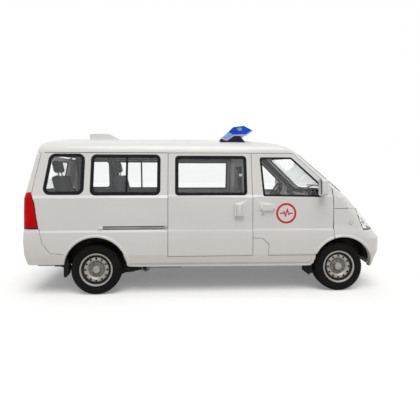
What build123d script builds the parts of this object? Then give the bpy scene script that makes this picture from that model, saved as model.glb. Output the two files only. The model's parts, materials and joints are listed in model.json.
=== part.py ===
from build123d import *
import os
from math import cos, hypot, radians, sin

os.makedirs("parts", exist_ok=True)

# Driving dimensions in millimetres: +X forward, +Y left, +Z up, origin on the ground
WHEELBASE = 2960.0
FRONT_AXLE_X = 1610.0
REAR_AXLE_X = FRONT_AXLE_X - WHEELBASE
TRACK = 1434.0
TYRE_R = 300.0
TYRE_W = 175.0
RIM_R = 195.0
HUB_R = 25.0
PANEL = 46.0
SKIN = 10.0
SHUT = 6.0
DOOR_T = PANEL - SHUT
GUTTER_Z = 1705.0
SILL_Z = 347.0
FLAP_Z = SILL_Z + 3.0
FLAP_X0 = 1225.0
DOOR_Z = 457.0
FLOOR_Z = 430.0
FLOOR_T = 30.0
SLIDE_X = -495.0
PILLAR_X = 530.0
DOOR_FRONT_X = 1531.0
HOOD_Z = 1020.0
BUMPER_Z = 648.0
ARCH_R = 375.0
FRONT_ARCH_X = FRONT_AXLE_X + 40.0
SEAT = 0.3

# Waterlines of the body, bottom to gutter
# z, rear x, front x, half width, rear bow, front bow, rear corner, front corner
BODY_ROWS = [
    (290.0, -2185.0, 2175.0, 800.0, 30.0, 90.0, 120.0, 260.0),
    (480.0, -2240.0, 2246.0, 835.0, 35.0, 90.0, 120.0, 280.0),
    (650.0, -2250.0, 2250.0, 842.0, 35.0, 90.0, 120.0, 280.0),
    (752.0, -2246.0, 2168.0, 842.0, 35.0, 95.0, 120.0, 280.0),
    (778.0, -2244.0, 2150.0, 831.0, 35.0, 95.0, 120.0, 270.0),
    (1000.0, -2246.0, 1985.0, 836.0, 40.0, 120.0, 120.0, 240.0),
    (1158.0, -2244.0, 1840.0, 834.0, 40.0, 135.0, 120.0, 170.0),
    (1190.0, -2240.0, 1808.0, 818.0, 40.0, 135.0, 120.0, 150.0),
    (GUTTER_Z, -2128.0, 1235.0, 735.0, 40.0, 130.0, 110.0, 110.0),
]
# Waterlines of the roof, gutter to crown, in the same columns
ROOF_ROWS = [
    (GUTTER_Z, -2128.0, 1235.0, 735.0, 40.0, 130.0, 110.0, 110.0),
    (1775.0, -2116.0, 1145.0, 706.0, 40.0, 130.0, 120.0, 130.0),
    (1830.0, -2098.0, 1000.0, 645.0, 40.0, 125.0, 140.0, 160.0),
    (1866.0, -2060.0, 800.0, 545.0, 40.0, 110.0, 160.0, 180.0),
    (1893.0, -1900.0, 520.0, 400.0, 40.0, 80.0, 160.0, 180.0),
    (1912.0, -1450.0, 150.0, 220.0, 20.0, 40.0, 120.0, 120.0),
]


def save(name, *pieces):
    solids = [solid for piece in pieces for solid in piece.solids()]
    shape = solids[0] if len(solids) == 1 else Compound(solids)
    export_step(shape, f"parts/{name}.step")


def biggest(piece):
    return max(piece.solids(), key=lambda solid: solid.volume)


def both(piece):
    return Compound(piece.solids() + mirror(piece, about=Plane.XZ).solids())


def block(x0, x1, y0, y1, z0, z1):
    size = Box(x1 - x0, y1 - y0, z1 - z0)
    return Pos((x0 + x1) / 2, (y0 + y1) / 2, (z0 + z1) / 2) * size


def rod(start, end, radius):
    a, b = Vector(*start), Vector(*end)
    return extrude(Plane(origin=a, z_dir=b - a) * Circle(radius), amount=(b - a).length)


def outline(row, inset):
    z, rear, front, half, rear_bow, front_bow, rear_r, front_r = row
    half, rear, front = half - inset, rear + inset, front - inset
    front_corner, rear_corner = front - front_bow, rear + rear_bow
    nose = ThreePointArc((front_corner, -half), (front, 0), (front_corner, half))
    left = Line((front_corner, half), (rear_corner, half))
    tail = ThreePointArc((rear_corner, half), (rear, 0), (rear_corner, -half))
    right = Line((rear_corner, -half), (front_corner, -half))
    face = make_face([nose, left, tail, right])
    face = fillet([v for v in face.vertices() if v.X > 0], max(front_r - inset, 20.0))
    rear_ends = [v for v in face.vertices() if v.X < rear_corner + 1]
    return Plane.XY.offset(z) * fillet(rear_ends, max(rear_r - inset, 20.0))


def hull(inset):
    return loft([outline(row, inset) for row in BODY_ROWS], ruled=True)


def cap(inset):
    crown = ROOF_ROWS[-1][0]
    squash = (crown - GUTTER_Z - inset) / (crown - GUTTER_Z)
    rows = [(GUTTER_Z + (row[0] - GUTTER_Z) * squash,) + row[1:] for row in ROOF_ROWS]
    return loft([outline(row, inset) for row in rows])


def side_face(points, radius=0.0):
    if radius:
        return make_face(FilletPolyline(*points, radius=radius, close=True))
    return make_face(Polyline(*points, close=True))


def side_prism(face, inner=0.0, outer=1000.0):
    return extrude(Plane.XZ.offset(inner) * face, amount=outer - inner)


def wide_prism(face, reach=1000.0):
    return extrude(Plane.XZ * face, amount=reach, both=True)


def front_prism(points, radius, x0, x1):
    return extrude(Plane.YZ.offset(x0) * side_face(points, radius), amount=x1 - x0)


def disc_y(x, z, radius, y0, y1):
    return extrude(Plane.XZ.offset(-y0) * (Pos(x, z) * Circle(radius)), amount=y0 - y1)


def grown(face, amount):
    return offset(face, amount, kind=Kind.INTERSECTION)


outer_hull = hull(0.0)
panel_core = hull(PANEL)
door_core = hull(DOOR_T)
inside = hull(PANEL + SKIN)
roof_outer = cap(0.0)
roof_inside = cap(PANEL)
right_half = block(-2400, 2400, -1000, 0, 0, 2400)
shell = outer_hull - panel_core
right_shell = shell & right_half
door_shell = outer_hull - door_core
right_door_shell = door_shell & right_half
right_skin = (panel_core - inside) & right_half
glass_sheet = hull(8.0) - hull(13.0)
right_glass = glass_sheet & right_half

# Side openings in the view from the right: doors, windows, arches
arch_front = Pos(FRONT_ARCH_X, TYRE_R) * Circle(ARCH_R)
arch_rear = Pos(REAR_AXLE_X, TYRE_R + 22.0) * Circle(ARCH_R)
door_top = GUTTER_Z - SHUT
half_shut = SHUT / 2
foot_panel = side_face([
    (PILLAR_X + half_shut, DOOR_Z - half_shut - 40.0),
    (PILLAR_X + half_shut, DOOR_Z + 212.0),
    (PILLAR_X + 115.0, DOOR_Z + 207.0),
    (PILLAR_X + 197.0, DOOR_Z + 133.0),
    (PILLAR_X + 177.0, DOOR_Z - half_shut - 40.0),
])
front_door_face = side_face([
    (PILLAR_X + half_shut, DOOR_Z + half_shut),
    (PILLAR_X + half_shut, door_top),
    (1050.0, door_top),
    (DOOR_FRONT_X - half_shut, 1255.0),
    (DOOR_FRONT_X - half_shut, DOOR_Z + half_shut),
])
front_door_face -= grown(foot_panel, SHUT)
front_door_face -= Pos(FRONT_ARCH_X, TYRE_R) * Circle(ARCH_R + SHUT)
slide_face = side_face([
    (SLIDE_X + half_shut, DOOR_Z + half_shut),
    (SLIDE_X + half_shut, door_top),
    (PILLAR_X - half_shut, door_top),
    (PILLAR_X - half_shut, DOOR_Z + half_shut),
])
front_window = side_face([
    (664.0, 1174.0), (633.0, 1650.0), (1032.0, 1650.0), (1370.0, 1330.0), (1384.0, 1162.0),
], [12.0, 24.0, 24.0, 24.0, 18.0])
slide_window = side_face([
    (-401.0, 1192.0), (-401.0, 1660.0), (459.0, 1660.0), (459.0, 1192.0),
], 28.0)
middle_window = side_face([
    (-1412.0, 1198.0), (-1412.0, 1672.0), (-596.0, 1672.0), (-596.0, 1198.0),
], 45.0)
quarter_window = side_face([
    (-1968.0, 1206.0), (-1905.0, 1680.0), (-1503.0, 1680.0), (-1503.0, 1206.0),
], 60.0)
windscreen_half_base = 728.0
windscreen_half_top = 640.0
windscreen_z0 = 1212.0
windscreen_z1 = 1688.0


def screen_prism(shrink):
    points = [
        (-windscreen_half_base + shrink, windscreen_z0 + shrink),
        (-windscreen_half_top + shrink, windscreen_z1 - shrink),
        (windscreen_half_top - shrink, windscreen_z1 - shrink),
        (windscreen_half_base - shrink, windscreen_z0 + shrink),
    ]
    return front_prism(points, 45.0, 900.0, 2300.0)


# Tailgate, lamps and bumper split the tail
TAIL_HALF = 640.0
TAIL_Z0 = 645.0
TAIL_BELT_Z = 1228.0
tail_upper = side_face([
    (-2300.0, TAIL_BELT_Z), (-2098.0, TAIL_BELT_Z), (-2018.0, door_top), (-2300.0, door_top),
])


def tail_prism(extra):
    upper = wide_prism(grown(tail_upper, extra) if extra else tail_upper)
    lower = block(-2400, -1950, -TAIL_HALF - extra, TAIL_HALF + extra, TAIL_Z0 - extra, TAIL_BELT_Z)
    return upper + lower


tail_lamp_face = side_face([
    (-2300.0, 800.0), (-2300.0, TAIL_BELT_Z - SHUT), (-2101.0, TAIL_BELT_Z - SHUT),
    (-2055.0, 1107.0), (-2010.0, 800.0),
])
rear_bumper_face = side_face([
    (-2300.0, 370.0), (-2300.0, 793.0), (-2004.0, 793.0), (-1966.0, 624.0),
    (-1874.0, 508.0), (-1690.0, 485.0), (-1690.0, 370.0),
])
tail_window = [(-560.0, 1215.0), (-520.0, 1640.0), (520.0, 1640.0), (560.0, 1215.0)]

# Front split: hood above the lamps, nose below it, bumper under the nose
HOOD_HALF = 424.0
NOSE_TOP = 857.0
LAMP_Z0 = 752.0
HOOD_BACK_X = 1836.0
LAMP_TOP_X = 1810.0
LAMP_LOW_X = 1900.0
cowl_row = (0.0, -2300.0, HOOD_BACK_X, 900.0, 40.0, 157.0, 120.0, 120.0)


def cowl_plan(extra):
    return extrude(outline(cowl_row, extra), amount=2000.0)


def hood_zone(extra):
    top = block(1600, 2300, -1000, 1000, HOOD_Z - extra, 1175.0 + extra) - cowl_plan(extra)
    low = block(1850, 2300, -HOOD_HALF - extra, HOOD_HALF + extra, NOSE_TOP - extra, HOOD_Z)
    return top + low


# Hinges: pin in the fixed body, curved strap that swings round the fixed edge
PIN_R = 6.0
BARREL_R = 12.0
STRAP_H = 50.0


def strap(inner_r, outer_r, swing, start=-4.0):
    end = swing + 8.0
    points = [(-r * cos(radians(t)), r * sin(radians(t)))
              for r, t in ((inner_r, start), (inner_r, end), (outer_r, end), (outer_r, start))]
    mid = (start + end) / 2
    in_mid = (-inner_r * cos(radians(mid)), inner_r * sin(radians(mid)))
    out_mid = (-outer_r * cos(radians(mid)), outer_r * sin(radians(mid)))
    arm = make_face([
        ThreePointArc(points[0], in_mid, points[1]), Line(points[1], points[2]),
        ThreePointArc(points[2], out_mid, points[3]), Line(points[3], points[0]),
    ])
    bar = Rot(0, 0, -(swing + 2.0)) * (Pos(-outer_r / 2 + 2, 0) * Rectangle(outer_r - 4, 13.0))
    face = arm + bar + Circle(BARREL_R) - Circle(PIN_R + SEAT)
    return extrude(face, amount=STRAP_H / 2, both=True)


def pin():
    return Cylinder(PIN_R, STRAP_H + 2 * SHUT)


def pocket(reach, depth, back=110.0):
    return Pos((reach - back) / 2, depth / 2 - 9.0, 0) * Box(back + reach, depth + 18.0, STRAP_H + 2 * SHUT)


DOOR_SWING = 60.0
door_axis = (DOOR_FRONT_X + 57.0, -806.0)
fixed_corner = hypot(DOOR_FRONT_X + half_shut - door_axis[0], 842.0 + door_axis[1])
door_relief = fixed_corner + 5.2
door_hinge_z = (800.0, 1100.0)
door_places = [Pos(door_axis[0], door_axis[1], z) for z in door_hinge_z]
TAIL_SWING = 80.0
tail_axis = (-2083.0, GUTTER_Z + 54.0)
tail_relief = hypot(BODY_ROWS[-1][1] - tail_axis[0], GUTTER_Z - tail_axis[1]) + 5.2
tail_places = [
    Plane(origin=(tail_axis[0], y, tail_axis[1]), x_dir=(0, 0, 1), z_dir=(0, 1, 0)).location
    for y in (-420.0, 420.0)
]
HOOD_SWING = 50.0
hood_axis = (1699.0, 1158.0)
hood_places = [
    Plane(origin=(hood_axis[0], y, hood_axis[1]), x_dir=(-1, 0, 0), z_dir=(0, -1, 0)).location
    for y in (-560.0, 560.0)
]
door_pockets = [place * pocket(25.0, 95.0) for place in door_places]
tail_pockets = [place * pocket(25.0, 110.0) for place in tail_places]
hood_pockets = [place * pocket(25.0, 110.0) for place in hood_places]
all_door_pockets = door_pockets + [mirror(p, about=Plane.XZ) for p in door_pockets]

# Front doors
door_right = right_door_shell & side_prism(front_door_face, 600.0)
door_right -= side_prism(front_window, 600.0)
door_right -= Pos(door_axis[0], door_axis[1], 1000) * Cylinder(door_relief, 2000)
for place in door_places:
    door_right += place * strap(door_relief, door_relief + 14.0, DOOR_SWING)
handle = side_prism(side_face([(623, 1003), (623, 1073), (793, 1073), (793, 1003)], 18.0), 800.0, 858.0)
door_right += handle - door_core
door_glass = right_glass & side_prism(front_window, 600.0)
mirror_arm = block(1375, 1405, -900, -805, 1175, 1205) - outer_hull
mirror_case = fillet(block(1335, 1425, -950, -840, 1180, 1385).edges(), 18.0)
door_mirror = (mirror_case + mirror_arm) - outer_hull
save("front_door_right", door_right)
save("front_door_left", mirror(door_right, about=Plane.XZ))
save("front_door_glass_right", door_glass)
save("front_door_glass_left", mirror(door_glass, about=Plane.XZ))
save("door_mirror_right", door_mirror)
save("door_mirror_left", mirror(door_mirror, about=Plane.XZ))

# Sliding doors, one a side
slide_right = right_shell & side_prism(slide_face - slide_window, 600.0)
slide_handle = side_prism(side_face([(305, 925), (305, 1090), (416, 1090), (416, 925)], 18.0), 800.0, 858.0)
slide_right += slide_handle - panel_core
save("sliding_doors", both(slide_right))

# Rear side panels with arch, windows and the door's rail slot
side_region = side_face([
    (-2300.0, SILL_Z), (-2300.0, GUTTER_Z), (SLIDE_X - half_shut, GUTTER_Z), (SLIDE_X - half_shut, SILL_Z),
])
side_region -= grown(rear_bumper_face, SHUT) + tail_lamp_face + arch_rear
side_region -= middle_window + quarter_window
side_panel = (right_shell & side_prism(side_region)) - tail_prism(SHUT)
side_panel -= block(-1264, SLIDE_X - 40, -900, -818, 782, 823)
save("side_panels", both(biggest(side_panel)))

# Sills with the fixed foot panel behind each front door
sill_face = side_face([
    (SLIDE_X - half_shut, SILL_Z), (SLIDE_X - half_shut, DOOR_Z - half_shut),
    (1330.0, DOOR_Z - half_shut), (1330.0, FLAP_Z), (FLAP_X0, FLAP_Z), (FLAP_X0, SILL_Z),
]) + foot_panel
sill = (right_shell & side_prism(sill_face)) - side_prism(arch_front)
save("sills", both(sill))

# Front fenders
door_grown = side_prism(grown(front_door_face, SHUT), 500.0)
fender_face = side_face([
    (DOOR_FRONT_X + half_shut, 600.0), (DOOR_FRONT_X + half_shut, HOOD_Z - half_shut),
    (LAMP_TOP_X, HOOD_Z - half_shut), (LAMP_LOW_X, LAMP_Z0), (LAMP_LOW_X, BUMPER_Z), (1700.0, BUMPER_Z),
])
fender = (right_shell & side_prism(fender_face)) - side_prism(arch_front)
for hole in door_pockets:
    fender -= hole
save("fenders", both(fender))

# Windscreen frame: pillars, cowl and header in one piece
frame_zone = block(1030, 2300, -1000, 1000, HOOD_Z + half_shut, GUTTER_Z)
frame = (shell & frame_zone) - door_grown - mirror(door_grown, about=Plane.XZ)
frame = (frame & cowl_plan(SHUT)) - screen_prism(0.0)
for hole in all_door_pockets + hood_pockets:
    frame -= hole
for place in hood_places:
    for shift in (-1, 1):
        cheek = Pos(-18, 8, shift * (STRAP_H / 2 + SHUT + 6)) * Box(60, 34, 12)
        frame += (place * cheek) & panel_core
save("windscreen_frame", biggest(frame))
screen = glass_sheet & screen_prism(SEAT) & block(900, 2300, -1000, 1000, 0, 2400)
save("windscreen", screen)

# Hood
hood = door_shell & hood_zone(0.0)
hood = biggest(hood)
for place in hood_places:
    hood += (place * strap(78.0, 90.0, HOOD_SWING, 4.0)) & hull(2.0)
save("hood", hood)

# Nose panel, grille, headlamps and front bumper
front_shell = shell & block(1640, 2300, -1000, 1000, 0, 1300)
nose = front_shell & (wide_prism(side_face([
    (LAMP_LOW_X, BUMPER_Z), (LAMP_LOW_X, LAMP_Z0), (2300.0, LAMP_Z0), (2300.0, BUMPER_Z)]))
    + block(1900, 2300, -HOOD_HALF, HOOD_HALF, LAMP_Z0, NOSE_TOP - SHUT))
grille_hole = front_prism([(-360, 772), (-390, 835), (390, 835), (360, 772)], 12.0, 1900, 2300)
nose -= grille_hole
save("nose_panel", nose)
grille_back = (hull(26.0) - hull(PANEL)) & grille_hole
bars = Compound([block(1900, 2300, -400, 400, z, z + 12) for z in (780, 800, 820)])
save("grille", grille_back + ((hull(6.0) - hull(30.0)) & bars & grille_hole))
lamp_zone = side_prism(side_face([
    (LAMP_TOP_X, HOOD_Z - half_shut), (2300.0, HOOD_Z - half_shut), (2300.0, LAMP_Z0), (LAMP_LOW_X, LAMP_Z0),
]), HOOD_HALF)
headlamp = (front_shell & lamp_zone) - hood_zone(SHUT)
save("headlamps", both(headlamp))
bumper = front_shell & block(1640, 2300, -1000, 1000, 280, BUMPER_Z)
bumper -= wide_prism(arch_front)
intake = front_prism([(-380, 395), (-420, 505), (420, 505), (380, 395)], 20.0, 1900, 2300)
bumper -= intake - hull(30.0)
save("front_bumper", bumper)

# Tail: gate, glass, lamps and bumper
gate_window = front_prism(tail_window, 50.0, -2400, -1800)
gate = (door_shell & block(-2400, -1900, -1000, 1000, 0, 2400) & tail_prism(0.0)) - gate_window
gate -= Pos(tail_axis[0], 0, tail_axis[1]) * Rot(90, 0, 0) * Cylinder(tail_relief, 2000)
for place in tail_places:
    gate += (place * strap(tail_relief, tail_relief + 14.0, TAIL_SWING)) & (hull(2.0) + cap(2.0))
gate_handle = block(-2270, -2190, -160, 160, 905, 950) & (hull(-14.0) - hull(10.0))
gate += gate_handle
save("tailgate", gate)
gate_glass = glass_sheet & block(-2400, -1800, -1000, 1000, 0, 2400)
gate_glass &= front_prism([(y * (1 - SEAT / 560), z) for y, z in tail_window], 50.0, -2400, -1800)
save("tailgate_glass", gate_glass)
tail_lamp = (right_shell & side_prism(tail_lamp_face)) - tail_prism(SHUT)
save("tail_lamps", both(tail_lamp))
rear_bumper = (shell & wide_prism(rear_bumper_face)) - tail_prism(SHUT) - wide_prism(arch_rear)
save("rear_bumper", rear_bumper)

# Side glass fixed to the body and the sliding doors
panes = (quarter_window, middle_window, slide_window)
pane_solids = [s for pane in panes for s in (right_glass & side_prism(pane, 600.0)).solids()]
save("side_windows", both(Compound(pane_solids)))

# Roof panel with the tail hinges' recesses
roof = roof_outer - roof_inside
for hole in tail_pockets:
    roof -= hole
save("roof_panel", roof)

# Inner skin behind the outer panels, open at doors, windows, tail and arches
skin = right_skin & block(-2040, 1990, -1000, 0, SILL_Z, GUTTER_Z)
skin -= block(FLAP_X0, 1340, -1000, 0, 0, FLAP_Z)
skin -= side_prism(grown(front_door_face, -35.0), 500.0)
skin -= side_prism(grown(slide_face, -35.0), 500.0)
for pane in (middle_window, quarter_window):
    skin -= side_prism(grown(pane, 6.0), 500.0)
skin -= block(-2400, -1950, -TAIL_HALF + 35, 1, TAIL_Z0 + 35, GUTTER_Z - 35)
skin -= side_prism(Pos(FRONT_ARCH_X, TYRE_R) * Circle(ARCH_R + 12))
skin -= side_prism(Pos(REAR_AXLE_X, TYRE_R + 22) * Circle(ARCH_R + 12))
skin -= screen_prism(-8.0)
skin -= hood_zone(8.0)
skin -= block(1500, 2300, -424, 1, 0, 1180)
for hole in door_pockets + tail_pockets + hood_pockets:
    skin -= hole
skin -= frame
save("inner_skin", both(biggest(skin)))

# Wheelhouses, pressed tubs over each wheel
FRONT_TUB_R = 430.0
REAR_TUB_R = 395.0
FRONT_TUB_Y = 450.0
REAR_TUB_Y = 600.0
TUB_T = 6.0


def tub(x, z, radius, inner_y, side_y=900.0):
    full = disc_y(x, z, radius + TUB_T, -inner_y, -side_y)
    hollow = disc_y(x, z, radius, -inner_y - TUB_T, -side_y)
    return (full - hollow) & block(x - 600, x + 600, -side_y, 0, SILL_Z, 1200)


front_tub = tub(FRONT_ARCH_X, TYRE_R, FRONT_TUB_R, FRONT_TUB_Y) & inside
rear_tub = tub(REAR_AXLE_X, TYRE_R + 22.0, REAR_TUB_R, REAR_TUB_Y) & inside

# Front suspension and knuckles about one inclined steering axis a side
ball = Vector(FRONT_AXLE_X, -660.0, 190.0)
top_mount = Vector(FRONT_AXLE_X, -530.0, 800.0)
steer_dir = (top_mount - ball).normalized()


def on_axis(z):
    return ball + steer_dir * ((z - ball.Z) / steer_dir.Z)


def axis_rod(z0, z1, radius):
    a, b = on_axis(z0), on_axis(z1)
    return rod((a.X, a.Y, a.Z), (b.X, b.Y, b.Z), radius)


SPINDLE_END = TRACK / 2 + 58.0
knuckle = axis_rod(214, 386, 28.0)
knuckle += rod((FRONT_AXLE_X, -625, TYRE_R), (FRONT_AXLE_X, -SPINDLE_END, TYRE_R), HUB_R - 0.05)
knuckle += rod((FRONT_AXLE_X, -680, TYRE_R), (FRONT_AXLE_X, -704, TYRE_R), 100.0)
knuckle += block(FRONT_AXLE_X - 125, FRONT_AXLE_X, -655, -631, 262, 286)
knuckle -= axis_rod(205, 250, 12.0 + SEAT) + axis_rod(350, 395, 12.0 + SEAT)
save("knuckle_right", knuckle)
save("knuckle_left", mirror(knuckle, about=Plane.XZ))
strut = axis_rod(360, 410, 12.0) + axis_rod(393, 728, 24.0) + axis_rod(625, 712, 50.0)
strut = strut - (disc_y(FRONT_ARCH_X, TYRE_R, 900, 0, -900) - disc_y(FRONT_ARCH_X, TYRE_R, FRONT_TUB_R, 0, -900))
CROSS_Y = 420.0
arm = axis_rod(176, 240, 12.0) + block(FRONT_AXLE_X - 24, FRONT_AXLE_X + 24, -686, -CROSS_Y, 164, 192)
rack = rod((1478, -400, 275), (1478, 400, 275), 26.0)
rack_legs = block(1468, 1488, -330, -310, 275, 355) + block(1468, 1488, 310, 330, 275, 355)
tie = rod((1478, -540, 275), (1478, -395, 275), 10.0)
save("front_suspension", both(strut), both(arm), rack + rack_legs + both(tie))
save("wheelhouses", both(front_tub), both(rear_tub))

# Chassis frame: rails, cross members and the front sub-member
RAIL_Y = 350.0
RAIL_W = 60.0
RAIL_Z0 = 355.0
frame_rail = block(-2080, 1960, -RAIL_Y - RAIL_W / 2, -RAIL_Y + RAIL_W / 2, RAIL_Z0, FLOOR_Z)
rails = frame_rail + mirror(frame_rail, about=Plane.XZ)
for x in (-2040, -1050, -420, 240, 1900):
    rails += block(x - 30, x + 30, -RAIL_Y, RAIL_Y, RAIL_Z0 + 8, FLOOR_Z)
cross = block(FRONT_AXLE_X - 50, FRONT_AXLE_X + 50, -CROSS_Y, CROSS_Y, 158, 228)
for y in (-RAIL_Y, RAIL_Y):
    cross += block(FRONT_AXLE_X - 40, FRONT_AXLE_X + 40, y - 25, y + 25, 200, RAIL_Z0)
rails += cross
save("chassis_frame", rails)

# Floor with the bulkhead ahead of the cab
PLINTH_X0, PLINTH_X1 = 600.0, 1190.0
PLINTH_Z = 680.0
PLINTH_T = 12.0
ENGINE_HALF = 250.0
floor = inside & block(-2400, 1712, -1000, 1000, FLOOR_Z, FLOOR_Z + FLOOR_T)
bulkhead = inside & block(1700, 1712, -1000, 1000, FLOOR_Z, 1100)
floor += bulkhead
floor -= block(PLINTH_X0 + 60, PLINTH_X1 - 60, -ENGINE_HALF - 40, ENGINE_HALF + 40, 0, FLOOR_Z + 60)
for x, z, radius, y in ((FRONT_ARCH_X, TYRE_R, FRONT_TUB_R, FRONT_TUB_Y),
                        (REAR_AXLE_X, TYRE_R + 22, REAR_TUB_R, REAR_TUB_Y)):
    floor -= disc_y(x, z, radius + TUB_T, -y, -1000)
    floor -= disc_y(x, z, radius + TUB_T, 1000, y)
save("floor_pan", biggest(floor))
cabin_top = FLOOR_Z + FLOOR_T
plinth = block(PLINTH_X0, PLINTH_X1, -740, 740, cabin_top, PLINTH_Z)
plinth -= block(PLINTH_X0 + PLINTH_T, PLINTH_X1 - PLINTH_T, -740 + PLINTH_T, 740 - PLINTH_T, 0, PLINTH_Z - PLINTH_T)
save("seat_plinth", plinth)

# Cab: dashboard, steering wheel, seats, partition
dash_face = side_face([
    (1698, 770), (1698, 1120), (1560, 1128), (1440, 1080), (1400, 960), (1440, 800), (1520, 770),
], 30.0)
dash = wide_prism(dash_face, 770.0) & inside
for hole in all_door_pockets:
    dash -= hole
save("dashboard", dash)
WHEEL_Y = 370.0
wheel_at = Location((1165, WHEEL_Y, 1150), (0, -62, 0))
steering = Torus(186, 15) + Cylinder(45, 44)
for turn in (0, 120, 240):
    steering += Rot(0, 0, turn) * Pos(95, 0, 0) * Box(190, 34, 16)
steering = wheel_at * (steering + Pos(0, 0, -170) * Cylinder(24, 340))
save("steering_wheel", steering - dash)


def seat(x, y, base_z, cushion_z):
    cushion = fillet(block(x, x + 470, -235, 235, cushion_z - 130, cushion_z).edges(), 30.0)
    back_pad = fillet(Box(110, 460, 620).edges(), 30.0)
    lean = Pos(x + 20, 0, cushion_z - 40) * Rot(0, -14, 0)
    back_pad = lean * Pos(-10, 0, 310) * back_pad
    rest = lean * Pos(-5, 0, 735) * fillet(Box(90, 270, 180).edges(), 28.0)
    posts = lean * (Pos(-5, -60, 630) * Cylinder(7, 80) + Pos(-5, 60, 630) * Cylinder(7, 80))
    foot = block(x + 60, x + 420, -190, 190, base_z, cushion_z - 100)
    return Pos(0, y, 0) * (cushion + back_pad + posts + rest + foot)


save("front_seats", seat(765, 375, PLINTH_Z, 860), seat(765, -375, PLINTH_Z, 860))
save("rear_seats", seat(-1010, -380, cabin_top, 870), seat(-1800, -330, cabin_top, 870))
partition = ((inside + roof_inside) & block(500, 520, -1000, 1000, cabin_top, 2000))
partition -= front_prism([(-300, 1180), (-300, 1560), (300, 1560), (300, 1180)], 40.0, 400, 600)
save("partition", biggest(partition))

# Drive line and services under the floor
ENGINE_X0, ENGINE_X1 = 690.0, 1110.0
engine = block(ENGINE_X0, ENGINE_X1, -ENGINE_HALF, ENGINE_HALF, 240, 640)
engine += block(ENGINE_X0 + 40, ENGINE_X1 - 40, -RAIL_Y + RAIL_W / 2, RAIL_Y - RAIL_W / 2, 370, 410)
save("engine_block", engine)
shaft_z = 318.0
gearbox = loft([Plane.YZ.offset(ENGINE_X0) * Pos(0, shaft_z) * Circle(104),
                Plane.YZ.offset(ENGINE_X0 - 380) * Pos(0, shaft_z) * Circle(60)])
diff_r = 105.0
shaft = rod((ENGINE_X0 - 380, 0, shaft_z), (REAR_AXLE_X + diff_r - 4, 0, TYRE_R), 32.0)
axle = rod((REAR_AXLE_X, -660, TYRE_R), (REAR_AXLE_X, 660, TYRE_R), 42.0)
axle += Pos(REAR_AXLE_X, 0, TYRE_R) * Sphere(diff_r)
for side in (-1, 1):
    axle += rod((REAR_AXLE_X, side * 640, TYRE_R), (REAR_AXLE_X, side * 700, TYRE_R), 116.0)
    axle += rod((REAR_AXLE_X, side * 640, TYRE_R), (REAR_AXLE_X, side * SPINDLE_END, TYRE_R), HUB_R - 0.05)
save("drive_line", (gearbox + shaft) - axle)
save("rear_axle", axle)
LEAF_Y = 580.0
leaf_mid = TYRE_R - 42.0
leaf_top = ThreePointArc((-1880, 330), (REAR_AXLE_X, leaf_mid), (-800, 270))
leaf_low = ThreePointArc((-800, 246), (REAR_AXLE_X, leaf_mid - 46), (-1880, 306))
leaf_face = make_face([leaf_top, Line((-800, 270), (-800, 246)), leaf_low, Line((-1880, 306), (-1880, 330))])
leaf = side_prism(leaf_face, LEAF_Y - 30, LEAF_Y + 30)
leaf += side_prism(side_face([(-860, FLOOR_Z), (-772, FLOOR_Z), (-782, 240), (-828, 240)]), LEAF_Y - 36, LEAF_Y + 36)
leaf += side_prism(side_face([(-1910, FLOOR_Z), (-1830, FLOOR_Z), (-1850, 296), (-1900, 296)]), LEAF_Y - 36, LEAF_Y + 36)
leaf += disc_y(-798, 256, 27.0, -LEAF_Y + 38, -LEAF_Y - 38)
leaf -= axle
save("leaf_springs", both(leaf))
tank = fillet(block(-380, 190, 80, 310, 215, FLOOR_Z - 62).edges(), 25.0)
tank += block(-100, 60, 100, 270, FLOOR_Z - 80, FLOOR_Z)
save("fuel_tank", tank)
muffler = rod((-760, -560, 315), (-330, -560, 315), 66.0)
muffler += rod((-335, -560, 315), (420, -300, 300), 22.0) + rod((420, -300, 300), (ENGINE_X0 + 60, -230, 300), 22.0)
muffler += block(-600, -500, -590, -530, 370, FLOOR_Z)
save("exhaust", muffler - engine - rails)
spare = Pos(-1860, 0, 295) * (Cylinder(265, 130) - Cylinder(60, 200))
spare += block(-1890, -1830, -62, 62, 340, FLOOR_Z)
save("spare_wheel", spare)
radiator = block(2050, 2110, -330, 330, 340, 740) + block(1930, 2052, -320, 320, 370, 420)
save("radiator", radiator & hull(PANEL + 40))

# Mud flaps behind the wheels
front_flap = block(1238, 1248, -785, -560, 200, FLAP_Z)
rear_flap = block(-1738, -1728, -752, -622, 205, 500) - rear_tub
save("mud_flaps", both(front_flap), both(biggest(rear_flap)))

# Roof fittings
BAR_HALF = 600.0
bar_base = wide_prism(side_face([
    (165, 1780), (165, 1888), (300, 1932), (494, 1940), (494, 1780)]), BAR_HALF) - roof_outer
save("light_bar_base", biggest(bar_base))
bar_lens = wide_prism(side_face([
    (190, 1896.4), (330, 2045), (470, 2063), (583, 2002), (494, 1940), (300, 1932)]), BAR_HALF)
save("light_bar_lens", biggest(bar_lens - bar_base - roof_outer))
vent = wide_prism(side_face([
    (-1584, 1880), (-1584, 1985), (-1560, 2000), (-1330, 2000), (-1240, 1955), (-1240, 1880)]), 190.0) - roof_outer
save("roof_vent", biggest(vent))

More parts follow.
